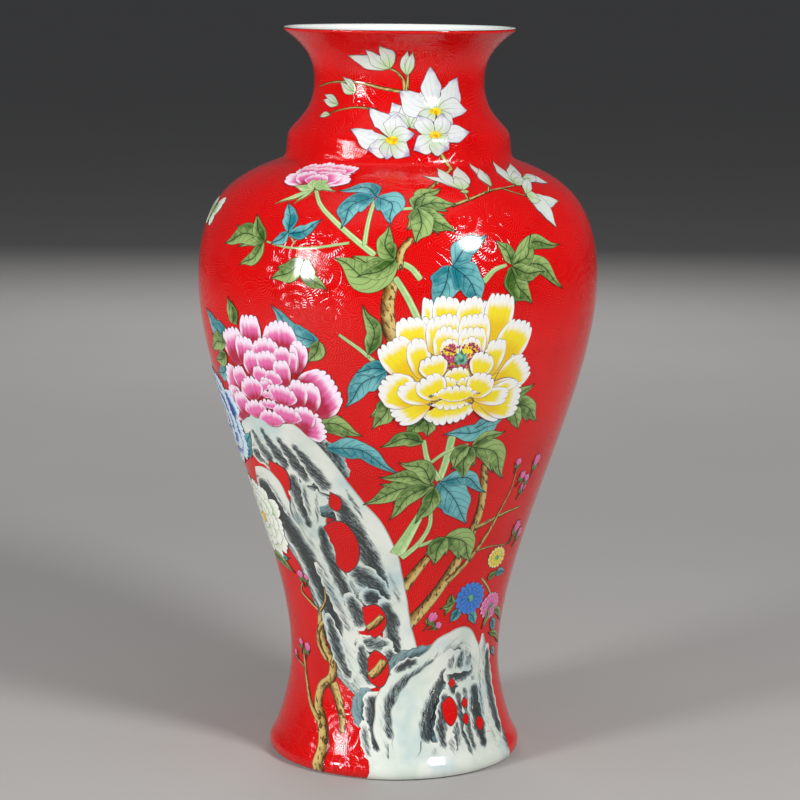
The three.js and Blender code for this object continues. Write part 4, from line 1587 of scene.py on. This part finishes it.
def turn_rims():
    """The white lip, the white edge of the foot and the bare ring that it stands on."""
    crown = [tuple(p) for p in OUTSIDE.points if p.y > OUTSIDE.at(LIP_LINE).y]
    lip = WallLine(crown + lip_inside())
    turned_band("lip", lip, 0, lip.whole, "clear_white", "white_glaze", spacing=0.4 * MM)
    turned_band("foot_edge", OUTSIDE, 0, FOOT_LINE, "clear_white", "white_glaze", spacing=0.4 * MM)
    slab_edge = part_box("base_slab")[1].x
    ring = [p for p in wall_points("foot_section", False) if p[0] < slab_edge and p[1] < FLOOR]
    ring = sorted(ring, key=lambda point: -point[1]) + [tuple(OUTSIDE.at(0))]
    bare = WallLine(ring, rounded=False)
    turned_band("foot_ring", bare, 0, bare.whole, "bare_clay", "biscuit", spacing=0.5 * MM)


def lip_inside():
    """The inner wall's points that belong to the lip, highest first."""
    top = OUTSIDE.points[-1].x - CLOSE
    found = [p for p in INSIDE_POINTS if p[1] > OUTSIDE.at(LIP_LINE).y - 3 * MM and p[0] < top]
    return sorted(found, key=lambda point: -point[1])


def turn_lining():
    """The white glazed inside, from the lip down to the floor."""
    points = [lip_inside()[-1]]
    points += sorted((p for p in INSIDE_POINTS if p[1] < points[0][1]), key=lambda p: -p[1])
    slab_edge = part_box("base_slab")[1].x
    points.append((slab_edge - 0.2 * MM, FLOOR + 0.02 * MM))
    lining = WallLine(points)
    turned_band("lining", lining, 0, lining.whole, "clear_white", "white_glaze", "floor_slip_ring")
    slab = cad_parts["base_slab"]
    slab.data.materials.clear()
    slab.data.materials.append(material("clear_white"))


# ---------------------------------------------------------------------------- the stage

def lamp(name, azimuth, elevation, distance, wide, high, power):
    """A softbox that faces the vase. Azimuth 0 is in front, and a positive one to the right."""
    light = bpy.data.lights.new(name, "AREA")
    light.shape = "RECTANGLE"
    light.size, light.size_y = wide, high
    light.energy = power
    holder = bpy.data.objects.new(name, light)
    bpy.context.scene.collection.objects.link(holder)
    a, e = math.radians(azimuth), math.radians(elevation)
    out = Vector((math.sin(a) * math.cos(e), -math.cos(a) * math.cos(e), math.sin(e)))
    target = Vector((0, 0, (CAD_BOX[0].z + CAD_BOX[1].z) / 2))
    holder.location = target + out * distance
    holder.rotation_euler = out.to_track_quat("Z", "Y").to_euler()
    return holder


def floor_paint():
    made = bpy.data.materials.new("floor")
    made.use_nodes = True
    graph = Graph(made.node_tree)
    cloud = graph.noise(3, detail=3)
    shade = graph.mix(cloud, srgb(162, 160, 157), srgb(170, 168, 165))
    shader = graph.add("ShaderNodeBsdfPrincipled", None, {"Base Color": shade, "Roughness": 0.75})
    graph.add("ShaderNodeOutputMaterial", None, {"Surface": shader})
    return made


def set_stage():
    scene = bpy.context.scene
    bpy.ops.mesh.primitive_plane_add(size=STAGE_SIZE, location=(0, 0, 0))
    floor = bpy.context.object
    floor.name = "floor"
    floor.data.materials.append(floor_paint())

    world = bpy.data.worlds.new("studio")
    world.use_nodes = True
    sky = world.node_tree.nodes["Background"].inputs
    sky["Color"].default_value = SKY_COLOUR
    sky["Strength"].default_value = SKY_STRENGTH
    scene.world = world

    lamp("left_softbox", -52, 13, 1.5, 0.3, 0.42, 18.5)
    lamp("right_softbox", 44, 31, 1.5, 0.3, 0.36, 19.5)
    lamp("overhead", -12, 76, 1.9, 1.8, 1.8, 6)
    lamp("far_side", 180, 26, 2.2, 1.4, 0.7, 20).visible_glossy = False

    camera = bpy.data.cameras.new("camera")
    camera.sensor_width = 36
    camera.lens = CAMERA_LENS
    camera.clip_start, camera.clip_end = 0.05, 50
    holder = bpy.data.objects.new("camera", camera)
    scene.collection.objects.link(holder)
    holder.location = CAMERA_PLACE
    pitch, yaw, roll = (math.radians(turn) for turn in (CAMERA_PITCH, CAMERA_YAW, CAMERA_ROLL))
    aim = Matrix.Rotation(yaw, 4, "Z") @ Matrix.Rotation(pitch, 4, "X") @ Matrix.Rotation(roll, 4, "Z")
    holder.rotation_euler = aim.to_euler()
    scene.camera = holder
    scene.view_settings.view_transform = "Standard"


# ---------------------------------------------------------------------------- the add-on

class VaseSizes(bpy.types.PropertyGroup):
    facets: IntProperty(name="Facets", description="Facets round the vase", default=192, min=24)
    ring_spacing: FloatProperty(
        name="Ring spacing", description="Height of one ring of faces on the turned wall",
        default=1.6 * MM, min=0.5 * MM, unit="LENGTH", precision=4)


def chosen_colour(name, words, *shade):
    """A colour that can be chosen in the panel."""
    return FloatVectorProperty(
        name=name, description=words, size=4, subtype="COLOR", default=srgb(*shade))


class VaseColours(bpy.types.PropertyGroup):
    red: chosen_colour("Red", "The enamel ground", 202, 0, 2)
    white: chosen_colour("White", "The clear glaze over porcelain", 238, 240, 236)
    biscuit: chosen_colour("Biscuit", "The bare ring of the foot", 222, 212, 192)
    yellow: chosen_colour("Yellow", "The yellow peony's petals", 230, 210, 40)
    pink: chosen_colour("Pink", "The pink peonies' petals", 218, 104, 162)
    blue: chosen_colour("Blue", "The blue flowers' petals", 58, 120, 200)
    leaf: chosen_colour("Leaf", "The light side of the green leaves", 146, 172, 104)
    teal: chosen_colour("Teal", "The dark side of the teal leaves", 28, 112, 124)


def operator(name, label, words, job):
    """An operator class that runs one of the functions above."""
    def execute(self, context):
        job()
        return {"FINISHED"}
    members = {"bl_idname": f"vase.{name}", "bl_label": label, "__doc__": words, "execute": execute}
    return type(f"VASE_OT_{name}", (bpy.types.Operator,), members)


OPERATORS = (
    operator("stage", "Stage", "Adds the floor, the lights and the camera.", set_stage),
    operator("wall", "Wall", "Turns the red outside.", turn_wall),
    operator("rims", "Rims", "Turns the lip and the foot.", turn_rims),
    operator("lining", "Lining", "Turns the white inside.", turn_lining),
    operator("rock", "Rock", "Paints the rock and the openings through it.", paint_rock),
    operator("branches", "Branches", "Paints the woody branches.", paint_branches),
    operator("stems", "Stems", "Paints the green stems.", paint_stems),
    operator("leaves", "Leaves", "Paints the leaves.", paint_leaves),
    operator("yellow_peony", "Yellow peony", "Paints the yellow peony.", paint_yellow_peony),
    operator("pink_peony", "Pink peony", "Paints the pink peony.", paint_pink_peony),
    operator("shoulder_peony", "Shoulder peony", "Paints the peony on the shoulder.",
             paint_shoulder_peony),
    operator("side_peonies", "Side peonies", "Paints the blue and the pale peony.", paint_side_peonies),
    operator("magnolias", "Magnolias", "Paints the magnolias.", paint_magnolias),
    operator("daisies", "Daisies", "Paints the daisies.", paint_daisies),
    operator("buds", "Buds", "Paints the small pink buds.", paint_buds),
    operator("butterfly", "Butterfly", "Paints the butterfly.", paint_butterfly),
    operator("back", "Far side", "Paints the sprays and flowers on the far side.", paint_back),
)


class VASE_PT_panel(bpy.types.Panel):
    """Lists the steps that make the vase"""
    bl_label = "Enamelled vase"
    bl_idname = "VASE_PT_panel"
    bl_space_type = "VIEW_3D"
    bl_region_type = "UI"
    bl_category = "Vase"

    def draw(self, context):
        for group in (context.scene.vase_sizes, context.scene.vase_colours):
            for name in group.__annotations__:
                self.layout.prop(group, name)
        for step in OPERATORS:
            self.layout.operator(step.bl_idname)


CLASSES = (VaseSizes, VaseColours, *OPERATORS, VASE_PT_panel)


def register():
    for cls in CLASSES:
        bpy.utils.register_class(cls)
    bpy.types.Scene.vase_sizes = PointerProperty(type=VaseSizes)
    bpy.types.Scene.vase_colours = PointerProperty(type=VaseColours)


def unregister():
    del bpy.types.Scene.vase_colours
    del bpy.types.Scene.vase_sizes
    for cls in reversed(CLASSES):
        bpy.utils.unregister_class(cls)


def main():
    register()
    for step in OPERATORS:
        getattr(bpy.ops.vase, step.bl_idname.split(".")[1])()


if __name__ == "__main__":
    main()
